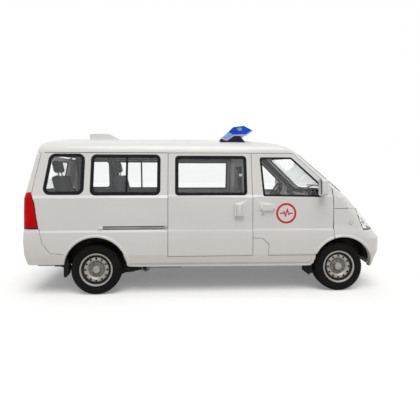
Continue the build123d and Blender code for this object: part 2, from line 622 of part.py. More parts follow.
# Wheels: pressed steel rim with a ring of holes, plain tyre
rim_face = make_face(Polyline(
    (HUB_R, 30), (62, 30), (92, 32), (114, 56), (136, 54), (146, 30), (164, 36), (164, -60), (180, -76),
    (RIM_R, -80), (RIM_R, -70), (174, -56), (174, 52), (180, 68), (RIM_R, 74), (RIM_R, 84), (178, 83), (168, 52),
    (153, 46), (144, 68), (116, 71), (97, 54), (88, 46), (58, 50), (42, 74), (0, 76),
    (0, SPINDLE_END - TRACK / 2 + 4), (HUB_R, SPINDLE_END - TRACK / 2 + 4),
    close=True))
rim = revolve(rim_face, axis=Axis.Y)
for i in range(12):
    rim -= Rot(0, i * 30, 0) * Pos(130, 62, 0) * Rot(90, 0, 0) * Cylinder(10.5, 60)
tyre_half = TYRE_W / 2
tyre_face = make_face(FilletPolyline(
    (RIM_R, -70), (RIM_R, -78), (RIM_R + 38, -tyre_half), (TYRE_R - 34, -tyre_half + 3), (TYRE_R - 6, -tyre_half + 18),
    (TYRE_R, 0), (TYRE_R - 6, tyre_half - 18), (TYRE_R - 34, tyre_half - 3), (RIM_R + 38, tyre_half), (RIM_R, 78),
    (RIM_R, 70), (RIM_R + 14, 60), (RIM_R + 14, -60),
    radius=[0, 4, 25, 20, 12, 0, 12, 20, 25, 4, 0, 4, 4], close=True))
tyre = revolve(tyre_face, axis=Axis.Y)
for end, x in (("front", FRONT_AXLE_X), ("rear", REAR_AXLE_X)):
    place = Pos(x, TRACK / 2, TYRE_R)
    save(f"rim_{end}_left", place * rim)
    save(f"tyre_{end}_left", place * tyre)
    save(f"rim_{end}_right", mirror(place * rim, about=Plane.XZ))
    save(f"tyre_{end}_right", mirror(place * tyre, about=Plane.XZ))

# Hinge pins held in the fixed body
door_pins = Compound([s for place in door_places for s in (place * pin()).solids()])
tail_pins = [place * pin() for place in tail_places]
hood_pins = [place * pin() for place in hood_places]
save("hinge_pins", both(door_pins), *tail_pins, *hood_pins)
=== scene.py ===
import bpy
import bmesh
import json
from math import atan2, cos, hypot, pi, radians, sin, tan
from mathutils import Matrix, Vector
from mathutils.bvhtree import BVHTree

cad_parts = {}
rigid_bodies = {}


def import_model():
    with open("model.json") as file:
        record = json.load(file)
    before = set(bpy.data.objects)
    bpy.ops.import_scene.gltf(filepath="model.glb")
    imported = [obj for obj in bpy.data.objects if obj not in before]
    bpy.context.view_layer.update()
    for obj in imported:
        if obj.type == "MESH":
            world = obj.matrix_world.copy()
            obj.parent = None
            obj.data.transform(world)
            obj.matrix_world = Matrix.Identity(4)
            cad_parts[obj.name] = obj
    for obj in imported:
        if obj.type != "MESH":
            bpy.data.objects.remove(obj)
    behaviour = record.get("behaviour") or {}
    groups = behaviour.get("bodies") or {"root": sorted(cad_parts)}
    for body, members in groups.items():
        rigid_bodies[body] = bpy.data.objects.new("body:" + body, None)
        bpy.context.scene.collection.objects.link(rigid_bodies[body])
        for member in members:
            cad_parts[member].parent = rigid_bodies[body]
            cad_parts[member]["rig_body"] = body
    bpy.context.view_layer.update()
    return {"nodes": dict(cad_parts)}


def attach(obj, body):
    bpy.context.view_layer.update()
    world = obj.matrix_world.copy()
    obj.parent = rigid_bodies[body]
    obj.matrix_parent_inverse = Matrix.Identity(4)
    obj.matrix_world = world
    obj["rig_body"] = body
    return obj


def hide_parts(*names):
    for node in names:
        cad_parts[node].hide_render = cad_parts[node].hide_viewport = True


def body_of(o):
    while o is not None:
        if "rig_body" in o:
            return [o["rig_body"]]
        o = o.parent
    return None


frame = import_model()
nodes = frame["nodes"]
scene = bpy.context.scene
print("frame in:", len(nodes), "nodes")

# finishes


# values and links on a node's inputs
def setInputs(tree, node, values):
    for key, value in values.items():
        if isinstance(value, bpy.types.NodeSocket):
            tree.links.new(value, node.inputs[key])
        else:
            node.inputs[key].default_value = value


def addNode(tree, kind, values, **settings):
    node = tree.nodes.new(kind)
    for key, value in settings.items():
        setattr(node, key, value)
    setInputs(tree, node, values)
    return node


def addMath(tree, operation, first, second):
    return addNode(tree, "ShaderNodeMath", {0: first, 1: second}, operation=operation).outputs[0]


# the mix node keeps its colours on sockets 6, 7 and 2
def addBlend(tree, value, first, second):
    return addNode(tree, "ShaderNodeMix", {0: value, 6: first, 7: second}, data_type="RGBA").outputs[2]


def startFinish(name):
    finish = bpy.data.materials.new(name)
    finish.use_nodes = True
    tree = finish.node_tree
    return finish, tree, tree.nodes["Principled BSDF"], tree.nodes.new("ShaderNodeTexCoord").outputs["Object"]


def addNoise(tree, place, scale, detail, stretch=None):
    if stretch:
        place = addNode(tree, "ShaderNodeMapping", {"Vector": place, "Scale": stretch}).outputs["Vector"]
    return addNode(tree, "ShaderNodeTexNoise", {"Vector": place, "Scale": scale, "Detail": detail}).outputs["Fac"]


def addWave(tree, place, axis, scale, distortion=0.0):
    values = {"Vector": place, "Scale": scale, "Distortion": distortion}
    return addNode(tree, "ShaderNodeTexWave", values, bands_direction=axis).outputs["Fac"]


def addRamp(tree, value, stops):
    ramp = addNode(tree, "ShaderNodeValToRGB", {"Fac": value})
    ends = ramp.color_ramp.elements
    while len(ends) < len(stops):
        ends.new(0.5)
    for end, (at, colour) in zip(ends, stops):
        end.position = at
        end.color = (*colour, 1.0) if len(colour) == 3 else (colour[0], colour[0], colour[0], 1.0)
    return ramp.outputs["Color"]


# patches of noise through a ramp
def mottle(tree, place, scale, detail, *stops):
    return addRamp(tree, addNoise(tree, place, scale, detail), stops)


def addBump(tree, shader, height, strength, depth):
    bump = addNode(tree, "ShaderNodeBump", {"Strength": strength, "Distance": depth, "Height": height})
    setInputs(tree, shader, {"Normal": bump.outputs["Normal"]})


# a moulded or cast surface: two tones, a range of roughness, a fine grain
def grainFinish(name, dark, light, rough, scale=60.0, grain=0.15, depth=0.0006, metallic=0.0, patch=4.0, shine=0.5):
    finish, tree, shader, place = startFinish(name)
    setInputs(tree, shader, {
        "Base Color": mottle(tree, place, patch, 5.0, (0.3, dark), (0.72, light)),
        "Roughness": mottle(tree, place, patch * 3.1, 4.0, (0.25, rough[:1]), (0.8, rough[1:])),
        "Specular IOR Level": shine, "Metallic": metallic})
    addBump(tree, shader, addNoise(tree, place, scale * 10.0, 2.0), grain, depth)
    return finish


paintLook = {
    "clean": (0.8, 0.795, 0.785), "shade": (0.765, 0.76, 0.745), "dust": (0.6, 0.57, 0.52),
    "dustLow": 0.28, "dustHigh": 0.75, "coat": 0.35, "coatRough": 0.07,
}


# white paint with a film of dust low down
def makePaint(look):
    finish, tree, shader, place = startFinish("whitePaint")
    coat = mottle(tree, place, 1.7, 4.0, (0.3, look["shade"]), (0.7, look["clean"]))
    height = addNode(tree, "ShaderNodeSeparateXYZ", {0: place}).outputs["Z"]
    span = {"Value": height, "From Min": look["dustLow"], "From Max": look["dustHigh"]}
    rise = addNode(tree, "ShaderNodeMapRange", span).outputs["Result"]
    low = addRamp(tree, rise, [(0.0, (0.55,)), (0.45, (0.2,)), (1.0, (0.0,))])
    film = addMath(tree, "MULTIPLY", low, addNoise(tree, place, 9.0, 6.0, (1.0, 1.0, 0.4)))
    dust = mottle(tree, place, 30.0, 3.0, (0.2, look["dust"]), (0.8, tuple(c * 1.1 for c in look["dust"])))
    setInputs(tree, shader, {
        "Base Color": addBlend(tree, film, coat, dust),
        "Roughness": mottle(tree, place, 5.0, 5.0, (0.3, (0.3,)), (0.75, (0.42,))),
        "Coat Weight": look["coat"], "Coat Roughness": look["coatRough"]})
    addBump(tree, shader, addNoise(tree, place, 420.0, 1.0), 0.025, 0.0005)
    return finish


def makeGlass(name, tint, rough=0.002, ior=1.45):
    finish, tree, shader, place = startFinish(name)
    setInputs(tree, shader, {
        "Base Color": mottle(tree, place, 2.0, 2.0, (0.3, tint), (0.7, tuple(min(c * 1.02, 1.0) for c in tint))),
        "Roughness": mottle(tree, place, 6.0, 5.0, (0.35, (rough,)), (0.85, (rough * 3.0,))),
        "Transmission Weight": 1.0, "IOR": ior})
    return finish


# a moulded lamp lens with flutes
def makeLens(name, dark, light, flute, rough, shine):
    finish, tree, shader, place = startFinish(name)
    setInputs(tree, shader, {
        "Base Color": mottle(tree, place, 6.0, 3.0, (0.3, dark), (0.7, light)),
        "Roughness": mottle(tree, place, 12.0, 4.0, (0.3, (rough,)), (0.8, (rough * 2.0,))),
        "IOR": 1.49, "Specular IOR Level": shine, "Coat Weight": 0.06, "Coat Roughness": 0.05})
    addBump(tree, shader, addWave(tree, place, *flute), 0.35, 0.0015)
    return finish


clothLook = {"dark": (0.035, 0.038, 0.045), "light": (0.075, 0.078, 0.088), "thread": 150.0, "wander": 1.2,
             "sheen": 0.25}


def makeCloth(look):
    finish, tree, shader, place = startFinish("seatCloth")
    weave = addWave(tree, place, "X", look["thread"], look["wander"])
    for axis in ("Z", "Y"):
        weave = addMath(tree, "MULTIPLY", weave, addWave(tree, place, axis, look["thread"], look["wander"]))
    yarn = addRamp(tree, weave, [(0.0, look["dark"]), (0.5, look["light"])])
    fade = mottle(tree, place, 7.0, 4.0, (0.35, look["dark"]), (0.8, look["light"]))
    setInputs(tree, shader, {
        "Base Color": addBlend(tree, addNoise(tree, place, 25.0, 3.0), yarn, fade),
        "Roughness": 0.85, "Sheen Weight": look["sheen"]})
    addBump(tree, shader, weave, 0.4, 0.0008)
    return finish


whitePaint = makePaint(paintLook)
windowGlass = makeGlass("windowGlass", (0.97, 0.98, 0.978))
lampClear = makeGlass("lampClear", (0.97, 0.975, 0.975), 0.008, 1.46)
gasketRubber = grainFinish("gasketRubber", (0.006, 0.0065, 0.008), (0.012, 0.0125, 0.015), (0.5, 0.68), shine=0.14)
blackPlastic = grainFinish("blackPlastic", (0.01, 0.01, 0.011), (0.02, 0.02, 0.022), (0.45, 0.65), 45.0, 0.25,
                           shine=0.25)
greyPlastic = grainFinish("greyPlastic", (0.13, 0.135, 0.145), (0.17, 0.175, 0.185), (0.5, 0.66), 45.0, 0.25)
dashGrey = grainFinish("dashGrey", (0.26, 0.265, 0.27), (0.33, 0.335, 0.34), (0.42, 0.6), 45.0, 0.25)
trimGrey = grainFinish("trimGrey", (0.085, 0.088, 0.095), (0.125, 0.128, 0.135), (0.55, 0.75), 30.0, 0.2, shine=0.3)
panelGrey = grainFinish("panelGrey", (0.5, 0.5, 0.49), (0.57, 0.57, 0.56), (0.45, 0.6), 30.0)
floorMat = grainFinish("floorMat", (0.06, 0.062, 0.066), (0.1, 0.1, 0.105), (0.6, 0.8), 25.0, 0.4, 0.001)
tyreRubber = grainFinish("tyreRubber", (0.005, 0.005, 0.005), (0.011, 0.0105, 0.01), (0.65, 0.85), 35.0, 0.35, 0.0008,
                         shine=0.1)
wheelSilver = grainFinish("wheelSilver", (0.33, 0.315, 0.29), (0.44, 0.425, 0.4), (0.38, 0.58), 50.0, 0.2, 0.0005,
                          0.45, 18.0)
hubGrey = grainFinish("hubGrey", (0.1, 0.095, 0.088), (0.27, 0.26, 0.24), (0.45, 0.7), 40.0, 0.5, 0.0012, 0.4, 38.0)
# dark finish for painted shade inside the wheels: the well inside the flange and the holes
paintedWheelShade = grainFinish("paintedWheelShade", (0.022, 0.021, 0.02), (0.06, 0.057, 0.052), (0.65, 0.85), 40.0, 0.4, 0.0008,
                         shine=0.2)
seamDark = grainFinish("seamDark", (0.02, 0.006, 0.007), (0.045, 0.01, 0.012), (0.5, 0.7), 60.0, 0.2, shine=0.2)
chassisBlack = grainFinish("chassisBlack", (0.012, 0.011, 0.01), (0.03, 0.027, 0.024), (0.6, 0.85), 20.0, 0.4, 0.0012,
                           shine=0.2)
castGrey = grainFinish("castGrey", (0.2, 0.2, 0.2), (0.3, 0.295, 0.29), (0.5, 0.75), 30.0, 0.4, 0.001, 0.5)
bareSteel = grainFinish("bareSteel", (0.33, 0.325, 0.315), (0.46, 0.455, 0.445), (0.32, 0.5), 40.0, 0.2, 0.0005, 0.85)
railSteel = grainFinish("railSteel", (0.33, 0.325, 0.31), (0.44, 0.435, 0.42), (0.4, 0.55), 40.0, 0.2, 0.0005, 0.3)
reflector = grainFinish("reflector", (0.8, 0.805, 0.81), (0.88, 0.885, 0.89), (0.08, 0.16), 20.0, 0.1, 0.0005, 0.9)
mirrorGlass = grainFinish("mirrorGlass", (0.78, 0.8, 0.82), (0.83, 0.85, 0.87), (0.02, 0.05), 10.0, 0.02, 0.0002, 1.0)
lampRed = makeLens("lampRed", (0.5, 0.0005, 0.003), (0.72, 0.001, 0.005), ("Z", 18.0), 0.14, 0.03)
lensBlue = makeLens("lensBlue", (0.002, 0.05, 0.52), (0.004, 0.11, 0.8), ("Y", 14.0), 0.12, 0.2)
# pale blue for plates that paint highlights on the light bar's lens
paintedHighlightBlue = makeLens("paintedHighlightBlue", (0.16, 0.36, 0.8), (0.34, 0.54, 0.9), ("X", 30.0), 0.12, 0.3)
baseNavy = grainFinish("baseNavy", (0.004, 0.005, 0.02), (0.008, 0.01, 0.036), (0.4, 0.55), 45.0, 0.2, shine=0.25)
stripPale = grainFinish("stripPale", (0.52, 0.53, 0.68), (0.64, 0.65, 0.78), (0.25, 0.4), 40.0, 0.1, 0.0005)
markRed = grainFinish("markRed", (0.56, 0.012, 0.025), (0.66, 0.02, 0.035), (0.3, 0.42), 60.0, 0.1, 0.0003)
seatCloth = makeCloth(clothLook)

print("finishes ready")

# mesh helpers

up, down = (0.0, 0.0, 1.0), (0.0, 0.0, -1.0)
toRight, toLeft = (0.0, -1.0, 0.0), (0.0, 1.0, 0.0)
toFront, toBack = (1.0, 0.0, 0.0), (-1.0, 0.0, 0.0)
acrossY = Matrix.Diagonal((1.0, -1.0, 1.0, 1.0))


def openWork(*meshes):
    work = bmesh.new()
    for mesh in meshes:
        work.from_mesh(mesh)
    return work


def closeWork(work, mesh=None):
    if mesh is None:
        mesh = bpy.data.meshes.new("shape")
    work.to_mesh(mesh)
    work.free()
    return mesh


def joinMeshes(meshes):
    return closeWork(openWork(*meshes))


def movedCopy(mesh, matrix):
    moved = mesh.copy()
    moved.transform(matrix)
    if matrix.determinant() < 0:
        moved.flip_normals()
    return moved


def addPiece(name, mesh, finish, body="body", smooth=40.0, slot=None):
    mesh.name = name
    mesh.materials.clear()
    mesh.materials.append(finish)
    mesh.shade_smooth()
    mesh.set_sharp_from_angle(angle=radians(smooth))
    piece = bpy.data.objects.new(name, mesh)
    scene.collection.objects.link(piece)
    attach(piece, body)
    return piece


# one piece for both sides, from its right half
def addPair(name, parts, finish, **more):
    half = joinMeshes(parts)
    return addPiece(name, joinMeshes([half, movedCopy(half, acrossY)]), finish, **more)


def addToDoor(side, name, mesh, finish, smooth=40.0):
    mesh = mesh.copy() if side == "right" else movedCopy(mesh, acrossY)
    return addPiece(name + "_" + side, mesh, finish, "front_door_" + side, smooth)


# the same piece on each front door
def addToDoors(name, mesh, finish, smooth=40.0):
    for side in ("right", "left"):
        addToDoor(side, name, mesh, finish, smooth)


def addStep(piece, kind, **settings):
    step = piece.modifiers.new(kind.lower(), kind)
    for key, value in settings.items():
        setattr(step, key, value)
    return step


def meshFrom(points, faces, edges=()):
    mesh = bpy.data.meshes.new("shape")
    mesh.from_pydata([tuple(p) for p in points], list(edges), faces)
    mesh.update()
    return mesh


def tidyMesh(mesh):
    work = openWork(mesh)
    bmesh.ops.remove_doubles(work, verts=work.verts, dist=1e-5)
    bmesh.ops.recalc_face_normals(work, faces=work.faces)
    return closeWork(work, mesh)


# faces between closed rings of points; the last ring can meet the first
def ringFaces(rings, count, closed=False):
    faces = []
    for i in range(rings if closed else rings - 1):
        here, ahead = i * count, (i + 1) % rings * count
        faces += [(here + j, ahead + j, ahead + (j + 1) % count, here + (j + 1) % count) for j in range(count)]
    return faces


# closed profile of (radius, along) points spun about Z
def spinMesh(profile, steps):
    turns = [2.0 * pi * i / steps for i in range(steps)]
    points = [(r * cos(turn), r * sin(turn), z) for turn in turns for r, z in profile]
    return tidyMesh(meshFrom(points, ringFaces(steps, len(profile), True)))


def easeEdges(work, edges, radius, segments):
    bmesh.ops.bevel(work, geom=edges, offset=radius, segments=segments, profile=0.5, affect="EDGES")


# block with rounded edges
def softBlock(low, high, radius, segments=3):
    work = bmesh.new()
    bmesh.ops.create_cube(work, size=1.0)
    bmesh.ops.scale(work, verts=work.verts, vec=[b - a for a, b in zip(low, high)])
    bmesh.ops.translate(work, verts=work.verts, vec=[(a + b) / 2 for a, b in zip(low, high)])
    easeEdges(work, work.edges[:], radius, segments)
    return closeWork(work)


# plate of a side-view outline with eased edges, or with only its outer rim eased
def makePlate(line, outer, inner, ease, rimOnly=False):
    count = len(line)
    points = [(x, y, z) for y in (outer, inner) for x, z in line]
    caps = [tuple(range(count)), tuple(range(2 * count - 1, count - 1, -1))]
    work = openWork(meshFrom(points, caps + ringFaces(2, count)))
    bmesh.ops.recalc_face_normals(work, faces=work.faces)
    middle = (outer + inner) / 2
    edges = [e for e in work.edges if not rimOnly or all(v.co.y < middle for v in e.verts)]
    easeEdges(work, edges, ease, 2)
    return closeWork(work)


# cuts by a plane and closes the cut; gives the closing faces
def cutWork(work, at, way, **cleared):
    parts = work.verts[:] + work.edges[:] + work.faces[:]
    bmesh.ops.bisect_plane(work, geom=parts, plane_co=at, plane_no=way, **cleared)
    return bmesh.ops.holes_fill(work, edges=[e for e in work.edges if e.is_boundary])["faces"]


# rounded corners on a flat outline, starting halfway along its last edge
def roundOutline(corners, radius, steps=7):
    count = len(corners)
    path = [(Vector(corners[-1]) + Vector(corners[0])) / 2]
    for i in range(count):
        a, b, c = (Vector(corners[(i + k - 1) % count]) for k in range(3))
        back, ahead = (a - b).normalized(), (c - b).normalized()
        half = back.angle(ahead) / 2
        reach = radius / tan(half)
        centre = b + (back + ahead).normalized() * (radius / sin(half))
        start, end = b + back * reach - centre, b + ahead * reach - centre
        sweep = start.angle_signed(end)
        for k in range(steps + 1):
            turn = -sweep * k / steps
            path.append(centre + Vector((start.x * cos(turn) - start.y * sin(turn),
                                         start.x * sin(turn) + start.y * cos(turn))))
    return path


# evenly spaced points from one to another
def spread(first, last, steps):
    return [tuple(a + (b - a) * k / steps for a, b in zip(first, last)) for k in range(steps + 1)]


def castTree(*names):
    points, faces = [], []
    for name in names:
        mesh = nodes[name].data
        base = len(points)
        points += [v.co.copy() for v in mesh.vertices]
        faces += [tuple(base + i for i in f.vertices) for f in mesh.polygons]
    return BVHTree.FromPolygons(points, faces)


# where a ray meets a skin: place and outward direction
def onSkin(tree, origin, direction):
    place, normal = tree.ray_cast(Vector(origin), Vector(direction))[:2]
    if place is None:
        return None, None
    return place, -normal if normal.dot(Vector(direction)) > 0 else normal


rayStart = {"side": -2.0, "front": 3.0, "above": 3.0, "below": 0.02}


def onSide(tree, x, z):
    return onSkin(tree, (x, rayStart["side"], z), toLeft)


def onFront(tree, y, z):
    return onSkin(tree, (rayStart["front"], y, z), toBack)


# the places where rays meet a skin, lifted off it
def skinPath(tree, origins, direction, lift=0.0):
    hits = [onSkin(tree, origin, direction) for origin in origins]
    return [place + normal * lift for place, normal in hits if place is not None]


# a frame on a skin, its Z pointing outward
def seatOn(place, normal, lift=0.0):
    return Matrix.Translation(place + normal * lift) @ normal.to_track_quat("Z", "Y").to_matrix().to_4x4()


# node trees for what follows a path or repeats


def startTree(name, inputs):
    tree = bpy.data.node_groups.new(name, "GeometryNodeTree")
    ids = {}
    for label, kind in [("Geometry", "Geometry"), *inputs]:
        ids[label] = tree.interface.new_socket(label, in_out="INPUT", socket_type="NodeSocket" + kind).identifier
    tree.interface.new_socket("Geometry", in_out="OUTPUT", socket_type="NodeSocketGeometry")
    return tree, ids, tree.nodes.new("NodeGroupInput").outputs


def addGeo(tree, kind, values):
    return addNode(tree, "GeometryNode" + kind, values).outputs[0]


def addTurn(tree, angle):
    return addNode(tree, "ShaderNodeCombineXYZ", {"Z": angle}).outputs[0]


# a strip of rounded section swept along an edge loop
def makeTrimTree():
    sizes = [(label, "Float") for label in ("Thickness", "Width", "Corner", "Lean")]
    tree, ids, given = startTree("trimAlongEdge", sizes)
    curve = addGeo(tree, "MeshToCurve", {"Mesh": given["Geometry"]})
    tilted = addGeo(tree, "SetCurveTilt", {"Curve": curve, "Tilt": given["Lean"]})
    section = addGeo(tree, "CurvePrimitiveQuadrilateral", {"Width": given["Thickness"], "Height": given["Width"]})
    eased = addGeo(tree, "FilletCurve", {"Curve": section, "Radius": given["Corner"], "Limit Radius": True})
    swept = addGeo(tree, "CurveToMesh", {"Curve": tilted, "Profile Curve": eased, "Fill Caps": True})
    addNode(tree, "NodeGroupOutput", {"Geometry": swept})
    return tree, ids


# copies of a small shape round a circle about Z
def makeRingTree():
    tree, ids, given = startTree("copiesRound", [("Count", "Int"), ("Radius", "Float"), ("Phase", "Float")])
    circle = addGeo(tree, "MeshCircle", {"Vertices": given["Count"], "Radius": given["Radius"]})
    share = addMath(tree, "DIVIDE", addGeo(tree, "InputIndex", {}), given["Count"])
    turn = addTurn(tree, addMath(tree, "MULTIPLY", share, 2.0 * pi))
    copies = addGeo(tree, "InstanceOnPoints", {"Points": circle, "Instance": given["Geometry"], "Rotation": turn})
    real = addGeo(tree, "RealizeInstances", {"Geometry": copies})
    turned = addGeo(tree, "Transform", {"Geometry": real, "Rotation": addTurn(tree, given["Phase"])})
    addNode(tree, "NodeGroupOutput", {"Geometry": turned})
    return tree, ids


# copies of a small shape along a straight line
def makeRowTree():
    tree, ids, given = startTree("copiesInRow", [("Count", "Int"), ("Step", "Vector")])
    line = addGeo(tree, "MeshLine", {"Count": given["Count"], "Offset": given["Step"]})
    copies = addGeo(tree, "InstanceOnPoints", {"Points": line, "Instance": given["Geometry"]})
    addNode(tree, "NodeGroupOutput", {"Geometry": addGeo(tree, "RealizeInstances", {"Geometry": copies})})
    return tree, ids


trees = {"trim": makeTrimTree(), "ring": makeRingTree(), "row": makeRowTree()}


def finalMesh(piece):
    graph = bpy.context.evaluated_depsgraph_get()
    graph.update()
    return bpy.data.meshes.new_from_object(piece.evaluated_get(graph))


def runTree(kind, mesh, values):
    tree, ids = trees[kind]
    holder = bpy.data.objects.new("holder", mesh)
    scene.collection.objects.link(holder)
    step = addStep(holder, "NODES", node_group=tree)
    for label, value in values.items():
        step[ids[label]] = value
    made = finalMesh(holder)
    bpy.data.objects.remove(holder)
    return made


# strip along points; the flat of the strip faces the given direction
def trimMesh(points, facing, thickness, width, corner, closed=False):
    count = len(points)
    edges = [(i, (i + 1) % count) for i in range(count if closed else count - 1)]
    ahead = (Vector(points[1]) - Vector(points[0])).normalized()
    plain = Vector((1.0, 0.0, 0.0))
    if hypot(ahead.x, ahead.y) > 1e-4:
        plain = Vector((ahead.y, -ahead.x, 0.0)).normalized()
    wanted = (Vector(facing) - ahead * Vector(facing).dot(ahead)).normalized()
    lean = atan2(ahead.dot(plain.cross(wanted)), plain.dot(wanted))
    sizes = {"Thickness": thickness, "Width": width, "Corner": corner, "Lean": lean}
    return runTree("trim", meshFrom(points, [], edges), sizes)


# strip on a skin, between two ray starts
def skinStrip(tree, first, last, steps, direction, lift, facing, *section):
    return trimMesh(skinPath(tree, spread(first, last, steps), direction, lift), facing, *section)


def ringMesh(mesh, count, radius, phase):
    return runTree("ring", mesh, {"Count": count, "Radius": radius, "Phase": phase})


print("node trees ready")

# CAD nodes: smooth copies in their finishes

nodeLooks = [
    (whitePaint, "side_panels sliding_doors sills fenders windscreen_frame roof_panel front_bumper rear_bumper "
                 "nose_panel roof_vent hood tailgate front_door_left front_door_right"),
    (windowGlass, "windscreen side_windows front_door_glass_left front_door_glass_right tailgate_glass"),
    (blackPlastic, "grille steering_wheel fuel_tank"), (gasketRubber, "mud_flaps"), (trimGrey, "inner_skin"),
    (lampRed, "tail_lamps"), (lensBlue, "light_bar_lens"), (baseNavy, "light_bar_base"),
    (chassisBlack, "chassis_frame wheelhouses rear_axle leaf_springs front_suspension drive_line"),
    (castGrey, "engine_block knuckle_left knuckle_right radiator"), (bareSteel, "exhaust hinge_pins"),
    (wheelSilver, "rim_front_left rim_front_right rim_rear_left rim_rear_right"), (floorMat, "floor_pan"),
    (greyPlastic, "seat_plinth"), (panelGrey, "partition"), (dashGrey, "dashboard"), (tyreRubber, "spare_wheel"),
]


def bodyOf(node):
    name = body_of(nodes[node])
    return name if isinstance(name, str) else list(name)[0]


def cleanCopy(node):
    work = openWork(nodes[node].data)
    bmesh.ops.remove_doubles(work, verts=work.verts, dist=2e-5)
    bmesh.ops.dissolve_degenerate(work, edges=work.edges, dist=1e-6)
    return closeWork(work, nodes[node].data.copy())


for finish, names in nodeLooks:
    for node in names.split():
        piece = addPiece("dressed_" + node, cleanCopy(node), finish, bodyOf(node), 26.0)
        addStep(piece, "WEIGHTED_NORMAL", keep_sharp=True, weight=60)
        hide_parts(node)
print("CAD nodes dressed")

# window gaskets

gasket = {"thickness": 0.011, "corner": 0.004, "inset": 0.006, "lift": 0.007, "stride": 0.045,
          "sunk": 0.001, "endWidth": 0.034}
sideWindows = {
    "door": ([(0.67338, 1.18385), (0.64367, 1.64), (1.02802, 1.64), (1.36035, 1.32536), (1.37312, 1.17218)],
             0.02, 0.025),
    "slide": ([(-0.391, 1.202), (-0.391, 1.65), (0.449, 1.65), (0.449, 1.202)], 0.028, 0.038),
    "middle": ([(-1.402, 1.208), (-1.402, 1.662), (-0.606, 1.662), (-0.606, 1.208)], 0.045, 0.041),
    "quarter": ([(-1.95658, 1.216), (-1.89624, 1.67), (-1.513, 1.67), (-1.513, 1.216)], 0.06, 0.041),
}
endWindows = {
    "windscreen_gasket": (
        "windscreen", [(-0.728, 1.212), (-0.64, 1.688), (0.64, 1.688), (0.728, 1.212)], 0.045, -1.0, "body"),
    "tail_gasket": (
        "tailgate_glass", [(-0.56, 1.215), (-0.52, 1.64), (0.52, 1.64), (0.56, 1.215)], 0.05, 1.0, "tailgate"),
}
bodySide = [(1.158, 0.834), (1.19, 0.818), (1.705, 0.735)]  # height and half width
sideLean = (0.0, -1.0, 0.16)


# a point of the right side wall, sunk into it
def onWall(x, z, sunk):
    for (z0, w0), (z1, w1) in zip(bodySide, bodySide[1:]):
        if z <= z1:
            return x, sunk - w0 - (w1 - w0) * (z - z0) / (z1 - z0), z
    return x, sunk - bodySide[-1][1], z


rubber = []
for name, (corners, radius, width) in sideWindows.items():
    line = [onWall(p.x, p.y, gasket["sunk"]) for p in roundOutline(corners, radius)]
    ring = trimMesh(line, sideLean, gasket["thickness"], width, gasket["corner"], True)
    if name == "door":
        addToDoors("door_gasket", ring, gasketRubber)
    else:
        rubber.append(ring)

# divider of the sliding panes in the middle window
divider = {"x": -0.991, "z": (1.2, 1.435, 1.67), "width": 0.026, "thickness": 0.014, "corner": 0.003, "sunk": 0.01}
line = [onWall(divider["x"], z, divider["sunk"]) for z in divider["z"]]
rubber.append(trimMesh(line, sideLean, divider["thickness"], divider["width"], divider["corner"]))
addPair("side_gaskets", rubber, gasketRubber)

for name, (node, corners, radius, direction, body) in endWindows.items():
    tree = castTree(node)
    rounded = roundOutline(corners, radius)
    mid = Vector((0.0, sum(c[1] for c in corners) / len(corners)))
    points, facing = [], Vector()
    for a, b in zip(rounded, rounded[1:] + rounded[:1]):
        cuts = max(1, int((b - a).length / gasket["stride"]))
        for p in (a + (b - a) * k / cuts for k in range(cuts)):
            q = p + (mid - p).normalized() * gasket["inset"]
            place, normal = onSkin(tree, (-direction * rayStart["front"], q.x, q.y), (direction, 0.0, 0.0))
            if place is not None:
                points.append(place + normal * gasket["lift"])
                facing += normal
    ring = trimMesh(points, facing, gasket["thickness"], gasket["endWidth"], gasket["corner"], True)
    addPiece(name, ring, gasketRubber, body)
print("gaskets done")

# wheels

tyreLook = {
    "crown": 0.3, "floor": 0.2925, "tread": 0.07, "rim": 0.195, "half": 0.0875, "steps": 120,
    "rows": [(-0.058, 0.018, 0.0), (-0.03, 0.022, 0.5), (0.0, 0.022, 0.0), (0.03, 0.022, 0.5), (0.058, 0.018, 0.0)],
    "blocks": 66, "fill": 0.74, "drop": 0.006, "skew": 0.004, "root": -0.004, "chamfer": 0.0012,
}


def treadBlock(along, wide, look):
    long = pi * look["floor"] / look["blocks"] * look["fill"]
    half = wide / 2
    top = look["crown"] - look["floor"] - look["drop"] * (along / look["tread"]) ** 2
    skew = look["skew"] if along >= 0 else -look["skew"]
    points = []
    for r, shrink in ((look["root"], 1.0), (top - look["chamfer"], 0.97), (top, 0.9)):
        for t, a in ((-long, -half), (long, -half), (long, half), (-long, half)):
            points.append((r, (t + skew * a / half) * shrink, along + a * shrink))
    return tidyMesh(meshFrom(points, [(8, 9, 10, 11)] + ringFaces(3, 4)))


def makeTyre(look):
    half, rim, crown, floorR = look["half"], look["rim"], look["crown"], look["floor"]
    side = [(rim, 0.07), (rim + 0.002, 0.0775), (rim + 0.01, 0.0805), (rim + 0.018, 0.0835), (rim + 0.022, 0.0838),
            (rim + 0.025, 0.0826), (rim + 0.032, 0.0862), (rim + 0.045, half), (rim + 0.058, half),
            (rim + 0.0605, half - 0.0012), (rim + 0.063, half - 0.0002), (rim + 0.075, half - 0.0045),
            (rim + 0.086, half - 0.0105), (crown - 0.011, half - 0.0155), (floorR - 0.0035, half - 0.018),
            (floorR, 0.052)]
    profile = side + [(r, -y) for r, y in reversed(side)] + [(rim + 0.014, -0.06), (rim + 0.014, 0.06)]
    parts = [spinMesh(profile, look["steps"])]
    for along, wide, shift in look["rows"]:
        block = treadBlock(along, wide, look)
        parts.append(ringMesh(block, look["blocks"], floorR, 2.0 * pi * shift / look["blocks"]))
    return joinMeshes(parts)


nutLook = {"count": 5, "ring": 0.072, "size": 0.0095, "height": 0.015, "seat": 0.046, "phase": 0.3,
           "steps": [(0.0, 1.0), (0.6, 1.0), (0.72, 0.86), (0.95, 0.62), (1.0, 0.36)]}


